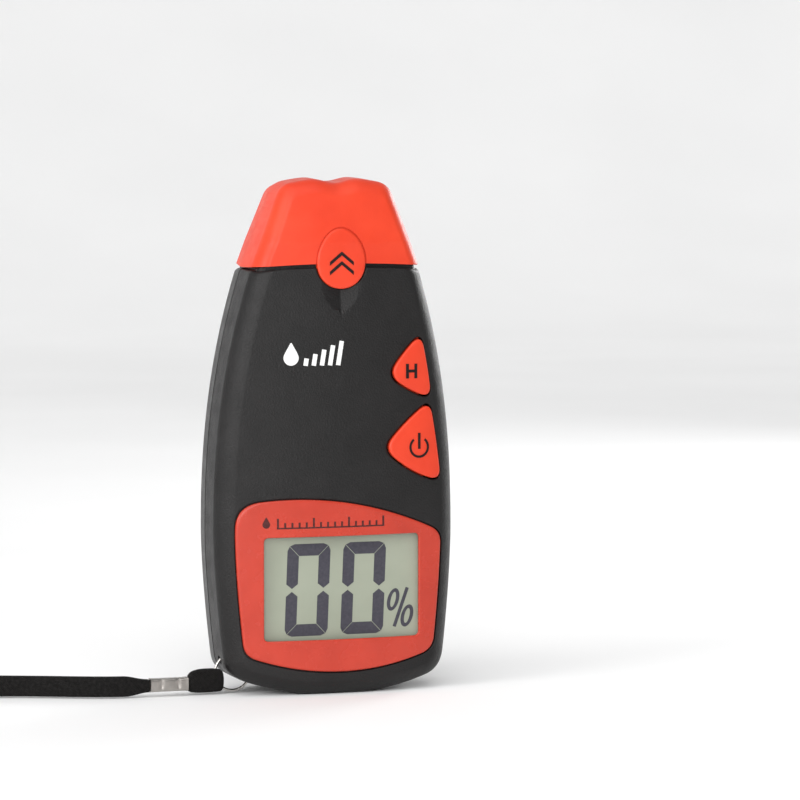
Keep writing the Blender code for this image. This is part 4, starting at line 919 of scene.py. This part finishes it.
def make_pins():
    """Polished needles on threaded studs, each with a chamfered hexagonal nut."""
    for i, x, y in pin_places():
        low, high = box_mm(f"electrode_pin_{i}")
        nut_low, nut_high = box_mm(f"pin_nut_{i}")
        head = low.z + PIN_HEAD_HEIGHT
        head_radius = (high.x - low.x) / 2
        profile = [(head_radius - 0.3, low.z), (head_radius, low.z + 0.3), (head_radius, head - 0.2),
                   (head_radius - 0.2, head), (STUD_RADIUS, head)]
        height = head
        while height < nut_high.z + 0.1:
            profile += [(STUD_RADIUS, height), (STUD_RADIUS - 0.14, height + 0.2)]
            height += 0.4
        profile += [(STUD_RADIUS - 0.05, nut_high.z + 0.35), (PIN_RADIUS, nut_high.z + 0.8),
                    (PIN_RADIUS, high.z - PIN_CONE)]
        for k in range(1, 13):
            share = k / 12
            profile.append((PIN_RADIUS * (1 - share ** 1.35) + 0.03 * share, high.z - PIN_CONE * (1 - share)))
        pin = turned(f"needle_{i}", profile, (x, y, 0), (0, 0, 1), LOOKS["nickel"], 32)
        place_piece(shade(pin, 50), "root", "nickel", f"electrode_pin_{i}")

        across = (nut_high.x - nut_low.x) / 2 / math.cos(math.pi / 6)
        across = max(across, (nut_high.y - nut_low.y) / 2)
        nut = rod(f"hex_nut_{i}", (x, y, 0), (0, 0, 1), across, nut_low.z, nut_high.z, LOOKS["brass"], 6)
        cone = 0.35
        keep_profile = [(across - cone, nut_low.z - 0.01), (across + 0.1, nut_low.z + cone * 0.7),
                        (across + 0.1, nut_high.z - cone * 0.7), (across - cone, nut_high.z + 0.01)]
        keep = turned("chamfer", keep_profile, (x, y, 0), (0, 0, 1), LOOKS["brass"], 48)
        combine(nut, keep, "INTERSECT")
        bore = STUD_RADIUS + 0.06
        bore_profile = [(bore + 0.5, nut_low.z - 0.2), (bore, nut_low.z + 0.3), (bore, nut_high.z - 0.3),
                        (bore + 0.5, nut_high.z + 0.2)]
        cut(nut, turned("bore", bore_profile, (x, y, 0), (0, 0, 1), LOOKS["brass"]))
        place_piece(shade(nut, 25), "root", "brass", f"pin_nut_{i}")


def narrow_top(cap):
    """Bring the cap's front and back together above the neck."""
    start = NECK_TOP + CAP_HEADROOM
    with edited(cap) as shape:
        slice_mesh(shape, 2, [start + 2.2 * i for i in range(8)])
        bmesh.ops.triangulate(shape, faces=shape.faces)
        for vert in shape.verts:
            rise = max(vert.co.z / MM - start, 0.0) / (CAP_TOP - start)
            vert.co.y *= 1 - (1 - CAP_TOP_THICKNESS) * rise


def make_pin_cap():
    """The cap that slides over the neck and covers the pins, with its raised thumb pad."""
    rows = back_roll()[::-1] + [(PARTING, 0.0)]
    rows += rolled_edge((CROWN_FULL, 0.25), (FRONT_FACE, CAP_FACE_INSET), 1.75, 14)
    cap = loft("slide_cap", levels(rows, cap_outline), RED)
    low = CASE_TOP - 4
    fit = NECK_STEP - CAP_WALL
    front, back = FRONT_FACE + CAP_WALL, BACK_FACE - CAP_WALL
    fit_rows = [(back, 2.2), (back - 0.4, 1.2), (back - 1.4, 0.6), (PARTING, 0.0),
                (front + 1.8, 0.2), (front + 0.5, 1.0), (front, 2.2)]
    ceiling = NECK_TOP + CAP_HEADROOM
    room = loft("neck_room", levels(fit_rows, lambda draw: neck_outline(fit, low, ceiling, draw)), RED)
    inner = CAP_WALL + 0.6
    upper_rows = [(BACK_FACE - NECK_STEP - 1.0, 3.0), (PARTING, 0.6), (FRONT_FACE + NECK_STEP + 1.0, 3.0)]

    def upper(draw):
        return mirrored_loop(lambda z: cap_side(z) - CAP_WALL - draw, lambda x: NECK_TOP - 1.0,
                             lambda x: cap_crest(x) - inner, 0.4, 1.5, (8, 4, 18))

    join(room, loft("pin_room", levels(upper_rows, upper), RED))
    cut(cap, room)
    groove = 0.28
    cut(cap, slab("groove", pad_outline(groove), FRONT_FACE - 2, FRONT_FACE + 0.35, RED))
    pad_face = FRONT_FACE - PAD_PROUD
    pad_rows = [(front, 0.0)]
    pad_rows += [(y, -grow) for y, grow in rolled_edge((pad_face + 0.5, 0.0), (pad_face, 0.6), 2.0, 6)]
    pad_rows.append((pad_face + 0.05, -2.2))
    pad_rows.append((pad_face + 0.14, -4.4))
    join(cap, loft("pad", levels(pad_rows, pad_outline), RED))
    crown(cap)
    narrow_top(cap)
    place_piece(shade(cap), "pin_cap", "signal_red", "pin_cap")


# ==== marks ===================================================================================
def bar(start, end, width):
    """A straight stroke between two (x, z) points, with square ends."""
    along = (Vector(end) - Vector(start)).normalized() * 1.0
    side = Vector((-along.y, along.x)) * width / 2
    return [tuple(Vector(start) + side), tuple(Vector(start) - side), tuple(Vector(end) - side),
            tuple(Vector(end) + side)]


def arc_band(centre, half_x, half_z, stroke, start=0.0, end=360.0, steps=48, lean=0.0):
    """Quads along an elliptical stroke; angles run anticlockwise from +X, in degrees."""
    quads = []
    rim = []
    for i in range(steps + 1):
        angle = math.radians(start + (end - start) * i / steps)
        pair = []
        for reach in (-stroke / 2, stroke / 2):
            z = (half_z + reach) * math.sin(angle)
            pair.append((centre[0] + (half_x + reach) * math.cos(angle) + lean * z, centre[1] + z))
        rim.append(pair)
    for (a, b), (c, d) in zip(rim, rim[1:]):
        quads.append([a, b, d, c])
    return quads


def droplet(x, z, radius, steps=32):
    """A drop with its tip up, round its lower middle."""
    points = []
    for i in range(steps):
        angle = 2 * math.pi * i / steps
        tip = max(math.sin(angle), 0.0) ** 3
        points.append((x + radius * math.cos(angle) * (1 - 0.55 * tip),
                       z + radius * (math.sin(angle) + 0.95 * tip)))
    return points


def make_mark(name, outlines, y_face, thickness, look, body, crowned=True):
    """Flat shapes of ink on a face, as one thin mesh."""
    shape = bmesh.new()
    for outline in outlines:
        add_rings(shape, [[(x, y, z) for x, z in outline] for y in (y_face - thickness, y_face + thickness)])
    mark = add_object(name, shape, look)
    if crowned:
        crown(mark, 1.0)
    mark.data.shade_flat()
    return place_piece(mark, body, None)


def lcd_digit(x, z, width, height, stroke, lean, gap=0.10):
    """The six outer segments of a seven-segment figure, mitred at the corners."""
    half = height / 2
    point = 0.4       # from the middle to the points of the side segments
    notch = 1.3       # length of those points
    corner = 1.9
    bevel = corner * 0.3

    def skew(points, up):
        return [(x + px + lean * pz * up, z + pz * up) for px, pz in points]

    segments = []
    for up in (1, -1):
        segments.append(skew([(corner + gap, half), (width - corner - gap, half),
                              (width - bevel - gap, half - bevel), (width - stroke - gap, half - stroke),
                              (stroke + gap, half - stroke), (bevel + gap, half - bevel)], up))
        for edge, inward in ((0, 1), (width, -1)):
            inner = edge + inward * stroke
            segments.append(skew([(edge, half - corner), (edge + inward * bevel, half - bevel - gap),
                                  (inner, half - stroke - gap), (inner, point + notch),
                                  (edge + inward * stroke * 0.5, point), (edge, point + notch)], up))
    return segments


def make_marks():
    thin = 0.03
    button_face = FRONT_FACE - BUTTON_PROUD - BUTTON_DOME
    hold_x, hold_z = HOLD_CORNERS[0][0] + 6.3, HOLD_CORNERS[0][1] + 0.9
    letter = [bar((x, hold_z - 2.0), (x, hold_z + 2.0), 0.85) for x in (hold_x - 1.25, hold_x + 1.25)]
    letter.append(bar((hold_x - 1.3, hold_z), (hold_x + 1.3, hold_z), 0.8))
    make_mark("hold_letter", letter, button_face + 0.02, 0.10, DARK_INK, "hold_key")

    power_x, power_z = POWER_CORNERS[0][0] + 10.0, POWER_CORNERS[0][1] + 0.1
    symbol = arc_band((power_x, power_z), 2.65, 2.65, 0.62, 128.0, 412.0)
    symbol.append(bar((power_x, power_z - 0.5), (power_x, power_z + 3.9), 0.75))
    make_mark("power_symbol", symbol, button_face + 0.02, 0.12, DARK_INK, "power_key")

    pad_z = PAD_CENTRE - 0.6
    arrow = []
    for foot in (pad_z, pad_z - 2.6):
        arrow += [[(-3.4, foot - 0.3), (-3.4, foot - 1.3), (0, foot + 1.5), (0, foot + 2.5)],
                  [(3.4, foot - 0.3), (0, foot + 2.5), (0, foot + 1.5), (3.4, foot - 1.3)]]
    make_mark("up_chevrons", arrow, FRONT_FACE - PAD_PROUD + 0.08, 0.12, DARK_INK, "pin_cap")

    lean = 0.16
    block_x, block_z = CASE_EDGE - 50.9, 90.3
    badge = [droplet(block_x + 2.2, block_z + 2.4, 2.1)]
    for i in range(5):
        foot = (block_x + 6.2 + 2.3 * i, block_z + 0.2)
        tall = 2.0 + 1.15 * i
        badge.append(bar(foot, (foot[0] + lean * tall, foot[1] + tall), 1.25))
    make_mark("level_badge", badge, FRONT_FACE, thin, WHITE_INK, "root")

    scale_z = 46.2
    row = [droplet(-21.2, scale_z + 1.1, 1.05)]
    for i in range(16):
        x = -18.0 + 2.0 * i
        tall = 2.7 if i % 5 == 0 else 1.5
        row.append(bar((x, scale_z), (x, scale_z + tall), 0.55))
    row.append(bar((-18.3, scale_z), (12.3, scale_z), 0.4))
    make_mark("moisture_scale", row, FRONT_FACE - FRAME_PROUD, thin, LABEL_INK, "root")


def make_readout():
    """The two figures and the per cent sign of the liquid crystal."""
    width, height, stroke, lean = 12.3, 25.4, 3.3, 0.04
    middle = WINDOW_Z - 0.6
    shapes = []
    for left in (WINDOW_X - 15.5, WINDOW_X + 0.5):
        shapes += lcd_digit(left, middle, width, height, stroke, lean)
    right = WINDOW_X + 15.3
    shapes += arc_band((right, middle - 3.6), 1.2, 2.6, 1.0, lean=0.22)
    shapes += arc_band((right + 4.0, middle - 8.2), 1.25, 2.55, 1.0, lean=0.22)
    shapes.append(bar((right + 0.3, middle - 11.1), (right + 4.1, middle - 0.4), 0.95))
    make_mark("readout", shapes, GLASS_FRONT, 0.04, LCD_INK, "root", crowned=False)


# ==== display and buttons =====================================================================
def make_display_frame():
    front = FRONT_FACE - FRAME_PROUD
    red = LOOKS["frame_red"]
    rows = [(front + FRAME_THICKNESS, 0.0)]
    rows += [(y, -inset) for y, inset in rolled_edge((front + 0.5, 0.0), (front, 0.6), 2.0, 6)]
    plate = loft("display_bezel", levels(rows, frame_outline), red)
    window = hole_rows(front, front + FRAME_THICKNESS + 1, 0.0, FRAME_LIP, 5)
    cut(plate, loft("window", levels(window, window_outline), red))
    crown(plate)
    place_piece(shade(plate), "root", "frame_red", "display_frame")


def make_button(name, corners, bulges):
    """A button with a rolled edge and a gently domed face; its web and stem go down to the plunger."""
    face = FRONT_FACE - BUTTON_PROUD
    cap_back = FRONT_FACE + BUTTON_DEPTH

    def outline(grow):
        return button_outline(corners, bulges, grow)

    rows = [(cap_back, 0.0)]
    rows += [(y, -inset) for y, inset in rolled_edge((face + BUTTON_ROLL, 0.0), (face, BUTTON_ROLL), 2.0, 8)]
    rings = levels(rows, outline)
    middle = sum((Vector(c) for c in corners), Vector((0, 0))) / 3
    for share in (0.9, 0.75, 0.55, 0.35, 0.15):
        ring = []
        for x, z in outline(-BUTTON_ROLL):
            ring.append((middle.x + (x - middle.x) * share, face - BUTTON_DOME * (1 - share ** 2),
                         middle.y + (z - middle.y) * share))
        rings.append(ring)
    cap = loft(f"{name}_cap", rings, RED)
    skirt_front = FRONT_FACE + FRONT_WALL + GAP
    x, z = middle.x - 0.8, middle.y
    low, high = min(c[1] for c in corners), max(c[1] for c in corners)
    stem_end = box_mm(f"{name}_button")[1].y
    crown(cap)
    web = block("web", (x - 2.4, x + 2.4), (cap_back - 0.5, skirt_front + 0.4), (z - 3, z + 3), RED)
    skirt = block("skirt", (x - 3, x + 3), (skirt_front, skirt_front + 1.0), (low, high + 0.4), RED)
    crown(web)
    crown(skirt)
    stem = rod("stem", (x, 0, z), (0, 1, 0), 2.0, skirt_front + crown_at(x) + 0.4, stem_end, RED)
    merge(cap, web, skirt, stem)
    place_piece(shade(cap), f"{name}_key", "signal_red", f"{name}_button")


# ==== battery, door and fasteners =============================================================
def make_battery():
    """A block battery: a wrapped can with rounded corners and two snap terminals."""
    low, high = BATTERY_LOW, BATTERY_HIGH
    top = high.z - 2.2
    middle = (low.y + high.y) / 2
    outline = rounded_polygon([(low.x, low.y), (high.x, low.y), (high.x, high.y), (low.x, high.y)], 1.8)
    rings = []
    for z, inset in ((low.z, 0.7), (low.z + 0.2, 0.25), (low.z + 0.7, 0.0),
                     (top - 0.7, 0.0), (top - 0.2, 0.25), (top, 0.7)):
        wide = 1 - 2 * inset / (high.x - low.x)
        deep = 1 - 2 * inset / (high.y - low.y)
        rings.append([(x * wide, middle + (y - middle) * deep, z) for x, y in outline])
    can = loft("battery_can", rings, LOOKS["battery_wrap"])
    place_piece(shade(can, 40), "root", "battery_wrap", "battery")
    for name, x, radius in (("small", -TERMINAL_SPREAD, 2.8), ("large", TERMINAL_SPREAD, 3.8)):
        profile = [(radius, top - 0.5), (radius, top + 1.9), (radius - 0.3, top + 2.2),
                   (radius - 1.0, top + 2.2), (radius - 1.2, top + 1.0)]
        terminal = turned(f"battery_terminal_{name}", profile, (x, middle, 0), (0, 0, 1), LOOKS["nickel"], 40)
        place_piece(shade(terminal), "root", "nickel")


def make_door():
    """The battery door: a plate with a rolled lower edge, pivots and moulded grip ribs."""
    y, z = BACK_FACE - DOOR_THICKNESS + DOOR_EDGE_RADIUS, DOOR_HINGE_HEIGHT
    profile = [(BACK_FACE, z + 0.5), (BACK_FACE, DOOR_TOP), (BACK_FACE - DOOR_THICKNESS, DOOR_TOP),
               (BACK_FACE - DOOR_THICKNESS, z)]
    for i in range(1, 16):
        angle = math.pi + math.pi * i / 16
        profile.append((y + DOOR_EDGE_RADIUS * math.cos(angle), z + DOOR_EDGE_RADIUS * math.sin(angle)))
    profile.append((y + DOOR_EDGE_RADIUS, z))
    door = loft("door_panel", [[(x, py, pz) for py, pz in profile] for x in (-DOOR_HALF, DOOR_HALF)], BLACK)
    soften(door, 0.3, 3, 40)
    pieces = []
    for side in (-1, 1):
        start, end = sorted((side * (DOOR_HALF - 0.5), side * (DOOR_HALF + DOOR_PIVOT_LENGTH)))
        pieces.append(rod("pivot", (0, y, z), (1, 0, 0), DOOR_PIVOT_RADIUS, start, end, BLACK, 24))
    for i in range(4):
        height = DOOR_TOP - 4.0 - 2.2 * i
        half = 5 - i * 0.6
        rib = block("rib", (-half, half), (BACK_FACE - 0.3, BACK_FACE + 0.35),
                    (height - 0.4, height + 0.4), BLACK, 0.3)
        soften(rib, 0.15, 2, 50)
        pieces.append(rib)
    merge(door, *pieces)
    place_piece(shade(door), "door", "case_black", "battery_door")

    low, high = box_mm("door_pad")
    pad = block("door_foam", (low.x, high.x), (low.y, high.y), (low.z, high.z), LOOKS["foam"], 1.2)
    soften(pad, 0.2, 3, 50)
    place_piece(shade(pad, 60), "door", "foam", "door_pad")


def make_screw(name, node_name, seat_height):
    """A pan head with a cross recess on a threaded shank, pointing along -Y."""
    low, high = box_mm(node_name)
    x, z = (low.x + high.x) / 2, (low.z + high.z) / 2
    seat, top = high.y - seat_height, high.y
    radius = (high.x - low.x) / 2
    profile = [(0.3, low.y), (SCREW_RADIUS * 0.6, low.y + 0.1)]
    y = low.y + 1.0
    while y < seat - 0.4:
        profile += [(SCREW_RADIUS, y), (SCREW_RADIUS - 0.28, y + 0.25)]
        y += 0.5
    profile += [(SCREW_RADIUS, seat), (radius, seat), (radius, seat + 0.6)]
    for i in range(1, 9):
        angle = math.pi / 2 * i / 8
        profile.append((radius - 0.9 * (1 - math.cos(angle)),
                        seat + 0.6 + (top - seat - 0.6) * math.sin(angle)))
    screw = turned(name, profile, (x, 0, z), (0, 1, 0), STEEL, 40)
    for half_x, half_z in ((CROSS_WIDTH, CROSS_ARM), (CROSS_ARM, CROSS_WIDTH)):
        cross = loft("cross", [[(x - half_x * s, y, z - half_z * s), (x + half_x * s, y, z - half_z * s),
                                (x + half_x * s, y, z + half_z * s), (x - half_x * s, y, z + half_z * s)]
                               for y, s in ((top - 1.0, 0.35), (top + 0.5, 1.12))], STEEL)
        cut(screw, cross)
    place_piece(shade(screw, 40), "root", "steel", node_name)


# ==== lanyard =================================================================================
def smooth_route(points, steps):
    """Points on a Catmull-Rom curve through the route's own points."""
    route = [Vector(p) for p in points]
    padded = [route[0] * 2 - route[1]] + route + [route[-1] * 2 - route[-2]]
    result = []
    for a, b, c, d in zip(padded, padded[1:], padded[2:], padded[3:]):
        for k in range(steps):
            t = k / steps
            result.append(0.5 * (2 * b + (c - a) * t + (2 * a - 5 * b + 4 * c - d) * t * t
                                 + (3 * b - a - 3 * c + d) * t ** 3))
    result.append(route[-1])
    return result


def even_route(points, spacing):
    """The same line with its points a set distance apart."""
    result = [points[0]]
    left = spacing
    for start, end in zip(points, points[1:]):
        length = (end - start).length
        done = 0.0
        while length - done >= left:
            done += left
            result.append(start + (end - start) * (done / length))
            left = spacing
        left -= length - done
    result.append(points[-1])
    return result


def path_length(points):
    return sum((b - a).length for a, b in zip(points, points[1:]))


def band_section(width, along, weave=0.09, columns=10):
    """A band's cross-section (across, up), with yarns that rise and sink in a herringbone."""
    points = []
    for face in (1, -1):
        for k in range(columns + 1):
            v = k / columns * 2 - 1
            up = v * face * width / 2
            edge = math.sqrt(max(1 - abs(v) ** 5, 0.0))
            yarn = math.sin(2 * math.pi * (along / 1.5 + 0.9 * abs(v) + (0.25 if face < 0 else 0.0)))
            half = (BAND_THICKNESS / 2 - weave) * (0.45 + 0.55 * edge) + weave * yarn * edge
            points.append((face * half, up))
    return points


def make_strap():
    """The wrist loop: one woven band on edge, from the crimp out, round and back to it."""
    route = smooth_route([(CRIMP_LOW.x + x, RING_CENTRE.y + y, BAND_MIDDLE) for x, y in STRAP_ROUTE], 8)
    fine = even_route(route, 0.3)
    length = path_length(fine)
    rings = []
    travelled = 0.0
    taper = 7.0       # over which the band narrows towards the crimp
    for i, point in enumerate(fine):
        before, after = fine[max(i - 2, 0)], fine[min(i + 2, len(fine) - 1)]
        along = (after - before).normalized()
        side = Vector((-along.y, along.x, 0))
        travelled += (point - fine[i - 1]).length if i else 0.0
        near = min(travelled, length - travelled)
        squeeze = 0.5 + 0.5 * math.cos(math.pi * min(near / taper, 1.0))
        width = BAND_WIDTH + (BAND_PINCH - BAND_WIDTH) * squeeze
        rings.append([point + side * across + Vector((0, 0, up))
                      for across, up in band_section(width, travelled)])
    band = loft("wrist_band", rings, LOOKS["webbing"])
    band.data.shade_smooth()
    place_piece(band, "root", "webbing", "wrist_strap")
    return band, route, length


def make_crimp():
    """A strip of steel rolled round the band's ends, with a seam at the back and two pressed dents."""
    middle = (CRIMP_LOW + CRIMP_HIGH) / 2
    half = (CRIMP_HIGH - CRIMP_LOW) / 2
    corners = [(-half.y, -half.z), (half.y, -half.z), (half.y, half.z), (-half.y, half.z)]
    outline = rounded_polygon(corners, 0.9, steps=6)
    rings = []
    steps = 40
    for i in range(steps + 1):
        u = i / steps * 2 - 1
        flare = 1.0 - 0.05 * (1 - abs(u) ** 6)
        dent = 0.16 * (math.exp(-((u - 0.45) / 0.12) ** 2) + math.exp(-((u + 0.45) / 0.12) ** 2))
        ring = []
        for y, z in outline:
            pressed = 1 - dent * max(1 - abs(z / half.z) ** 2, 0.0)
            ring.append((middle.x + half.x * u, middle.y + y * flare * pressed, middle.z + z * flare))
        rings.append(ring)
    crimp = loft("band_crimp", rings, STEEL)
    inner = [[(x, middle.y + y * 0.72, middle.z + z * 0.78) for y, z in outline]
             for x in (CRIMP_LOW.x - 1, CRIMP_HIGH.x + 1)]
    cut(crimp, loft("bore", inner, STEEL),
        block("seam", (CRIMP_LOW.x - 1, CRIMP_HIGH.x + 1), (middle.y + half.y - 0.25, middle.y + half.y + 1),
              (middle.z - 0.12, middle.z + 0.12), STEEL))
    place_piece(shade(crimp), "root", "steel", "strap_crimp")
    return crimp


def make_eye():
    """The folded end of the band, gathered into a soft loop that the ring passes through."""
    left, hold = EYE_LOW.x, RING_CENTRE.x - RING_RADIUS
    low_line = [(left, 1.2), (left + 0.9, 0.85), (hold - 4.5, 0.65), (hold - 1.5, 0.65), (hold + 0.9, 0.75),
                (hold + 2.0, 1.2), (hold + 2.35, 2.4)]
    high_line = [(left, 5.6), (left + 0.9, 6.5), (hold - 4.5, 7.1), (hold - 1.5, 7.2), (hold + 0.9, 7.0),
                 (hold + 2.0, 6.4), (hold + 2.35, 5.0)]
    lower = smooth_route([(x, z, 0) for x, z in low_line], 8)
    upper = smooth_route([(x, z, 0) for x, z in high_line], 8)
    half_deep = (EYE_HIGH.y - EYE_LOW.y) / 2
    rings = []
    sides = 36
    relief = 0.07     # height of the yarns
    for i, (bottom, top) in enumerate(zip(lower, upper)):
        share = i / (len(lower) - 1)
        middle, half = (bottom.y + top.y) / 2, (top.y - bottom.y) / 2
        deep = half_deep * (0.82 + 0.18 * math.sin(math.pi * share)) * (1 - 0.35 * max(share - 0.8, 0) / 0.2)
        ring = []
        for k in range(sides):
            angle = 2 * math.pi * k / sides
            yarn = relief * math.sin(2 * math.pi * (bottom.x / 1.4 + 3 * abs(math.sin(angle))))
            cosine, sine = math.cos(angle), math.sin(angle)
            across = (deep - relief + yarn) * math.copysign(abs(cosine) ** 0.55, cosine)
            ring.append((bottom.x, RING_CENTRE.y + across,
                         middle + half * math.copysign(abs(sine) ** 0.8, sine)))
        rings.append(ring)
    eye = loft("band_eye", rings, LOOKS["webbing"])
    cut(eye, ring_solid("ring_room", RING_CENTRE, RING_RADIUS, RING_WIRE + 0.12, LOOKS["webbing"], 72, 16))
    place_piece(shade(eye, 60), "root", "webbing", "strap_eye")
    return eye


def make_ring():
    ring = ring_solid("split_ring", RING_CENTRE, RING_RADIUS, RING_WIRE, LOOKS["nickel"])
    place_piece(shade(ring), "ring", "nickel", "lanyard_ring")


# ==== internal pieces kept from the CAD =======================================================
def dress_frame():
    """Give every CAD node that stays visible its procedural material."""
    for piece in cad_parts.values():
        for i, slot in enumerate(piece.material_slots):
            name = slot.material.name.split(".")[0] if slot.material else ""
            if name in LOOKS:
                piece.material_slots[i].material = LOOKS[name]


# ==== studio ==================================================================================
def make_studio():
    scene = bpy.context.scene
    scene.view_settings.view_transform = "Standard"
    world = bpy.data.worlds.new("studio")
    scene.world = world
    world.use_nodes = True
    sky = world.node_tree.nodes["Background"]
    sky.inputs["Color"].default_value = (1.0, 1.0, 1.0, 1.0)
    sky.inputs["Strength"].default_value = 0.34

    floor_look, tree, inputs = finish("floor")
    link(tree, ramp(tree, noise(tree, 6.0), (0.90, 0.90, 0.90), (0.93, 0.93, 0.93)), inputs["Base Color"])
    inputs["Roughness"].default_value = 0.85
    shape = bmesh.new()
    reach, flat, bend, rise = 4000.0, 1400.0, 900.0, 3500.0
    profile = [(-reach, 0.0)]
    for i in range(17):
        angle = math.pi / 2 * i / 16
        profile.append((flat + bend * math.sin(angle), bend * (1 - math.cos(angle))))
    profile.append((flat + bend, rise))
    rows = [[shape.verts.new((x, y, z)) for y, z in profile] for x in (-reach, reach)]
    for a, b, c, d in zip(rows[0], rows[0][1:], rows[1][1:], rows[1]):
        shape.faces.new((a, b, c, d))
    floor = add_object("floor", shape, floor_look)
    floor.data.shade_smooth()

    aim = Vector((0, 0, 60)) * MM
    sun_data = bpy.data.lights.new("daylight", "SUN")
    sun_data.energy = 1.6
    sun_data.angle = math.radians(70.0)
    sun = bpy.data.objects.new("daylight", sun_data)
    sun.rotation_euler = Vector((0.35, 0.55, -0.9)).to_track_quat("-Z", "Y").to_euler()
    scene.collection.objects.link(sun)
    for name, place, size, power in (("front_left", (-330, -900, 230), 420, 3.0),
                                     ("key", (-640, -260, 260), 260, 2.0),
                                     ("rim", (620, 420, 260), 260, 2.4)):
        data = bpy.data.lights.new(name, "AREA")
        data.size = size * MM
        data.energy = power
        lamp = bpy.data.objects.new(name, data)
        lamp.location = Vector(place) * MM
        lamp.rotation_euler = (aim - lamp.location).to_track_quat("-Z", "Y").to_euler()
        scene.collection.objects.link(lamp)


def make_camera():
    """The photograph's view: from the left, slightly above, with a long lens."""
    turn, dip, distance = math.radians(18.4), math.radians(4.5), 1200.0
    right = Vector((math.cos(turn), -math.sin(turn), 0))
    forward = Vector((math.sin(turn) * math.cos(dip), math.cos(turn) * math.cos(dip), -math.sin(dip)))
    up = right.cross(forward)
    target = Vector((0, -8, 0)) + right * 17.4 + up * 80.35
    data = bpy.data.cameras.new("camera")
    data.lens = 196.2
    data.sensor_width = 36.0
    data.clip_start = 0.05
    data.clip_end = 20.0
    camera = bpy.data.objects.new("camera", data)
    camera.location = (target - forward * distance) * MM
    camera.rotation_euler = forward.to_track_quat("-Z", "Y").to_euler()
    bpy.context.scene.collection.objects.link(camera)
    bpy.context.scene.camera = camera


def main():
    make_camera()
    make_studio()
    dress_frame()
    band, route, length = make_strap()
    crimp, eye = make_crimp(), make_eye()
    make_ring()
    make_front_shell()
    make_back_shell()
    make_electrode_plate()
    make_pins()
    make_pin_cap()
    make_display_frame()
    make_button("hold", HOLD_CORNERS, HOLD_BULGES)
    make_button("power", POWER_CORNERS, POWER_BULGES)
    make_marks()
    make_readout()
    make_battery()
    make_door()
    for i in range(1, 5):
        make_screw(f"back_screw_{i}", f"case_screw_{i}", SCREW_HEAD_HEIGHT)
    for i in range(1, 3):
        make_screw(f"inner_screw_{i}", f"board_screw_{i}", SCREW_HEAD_HEIGHT)


main()
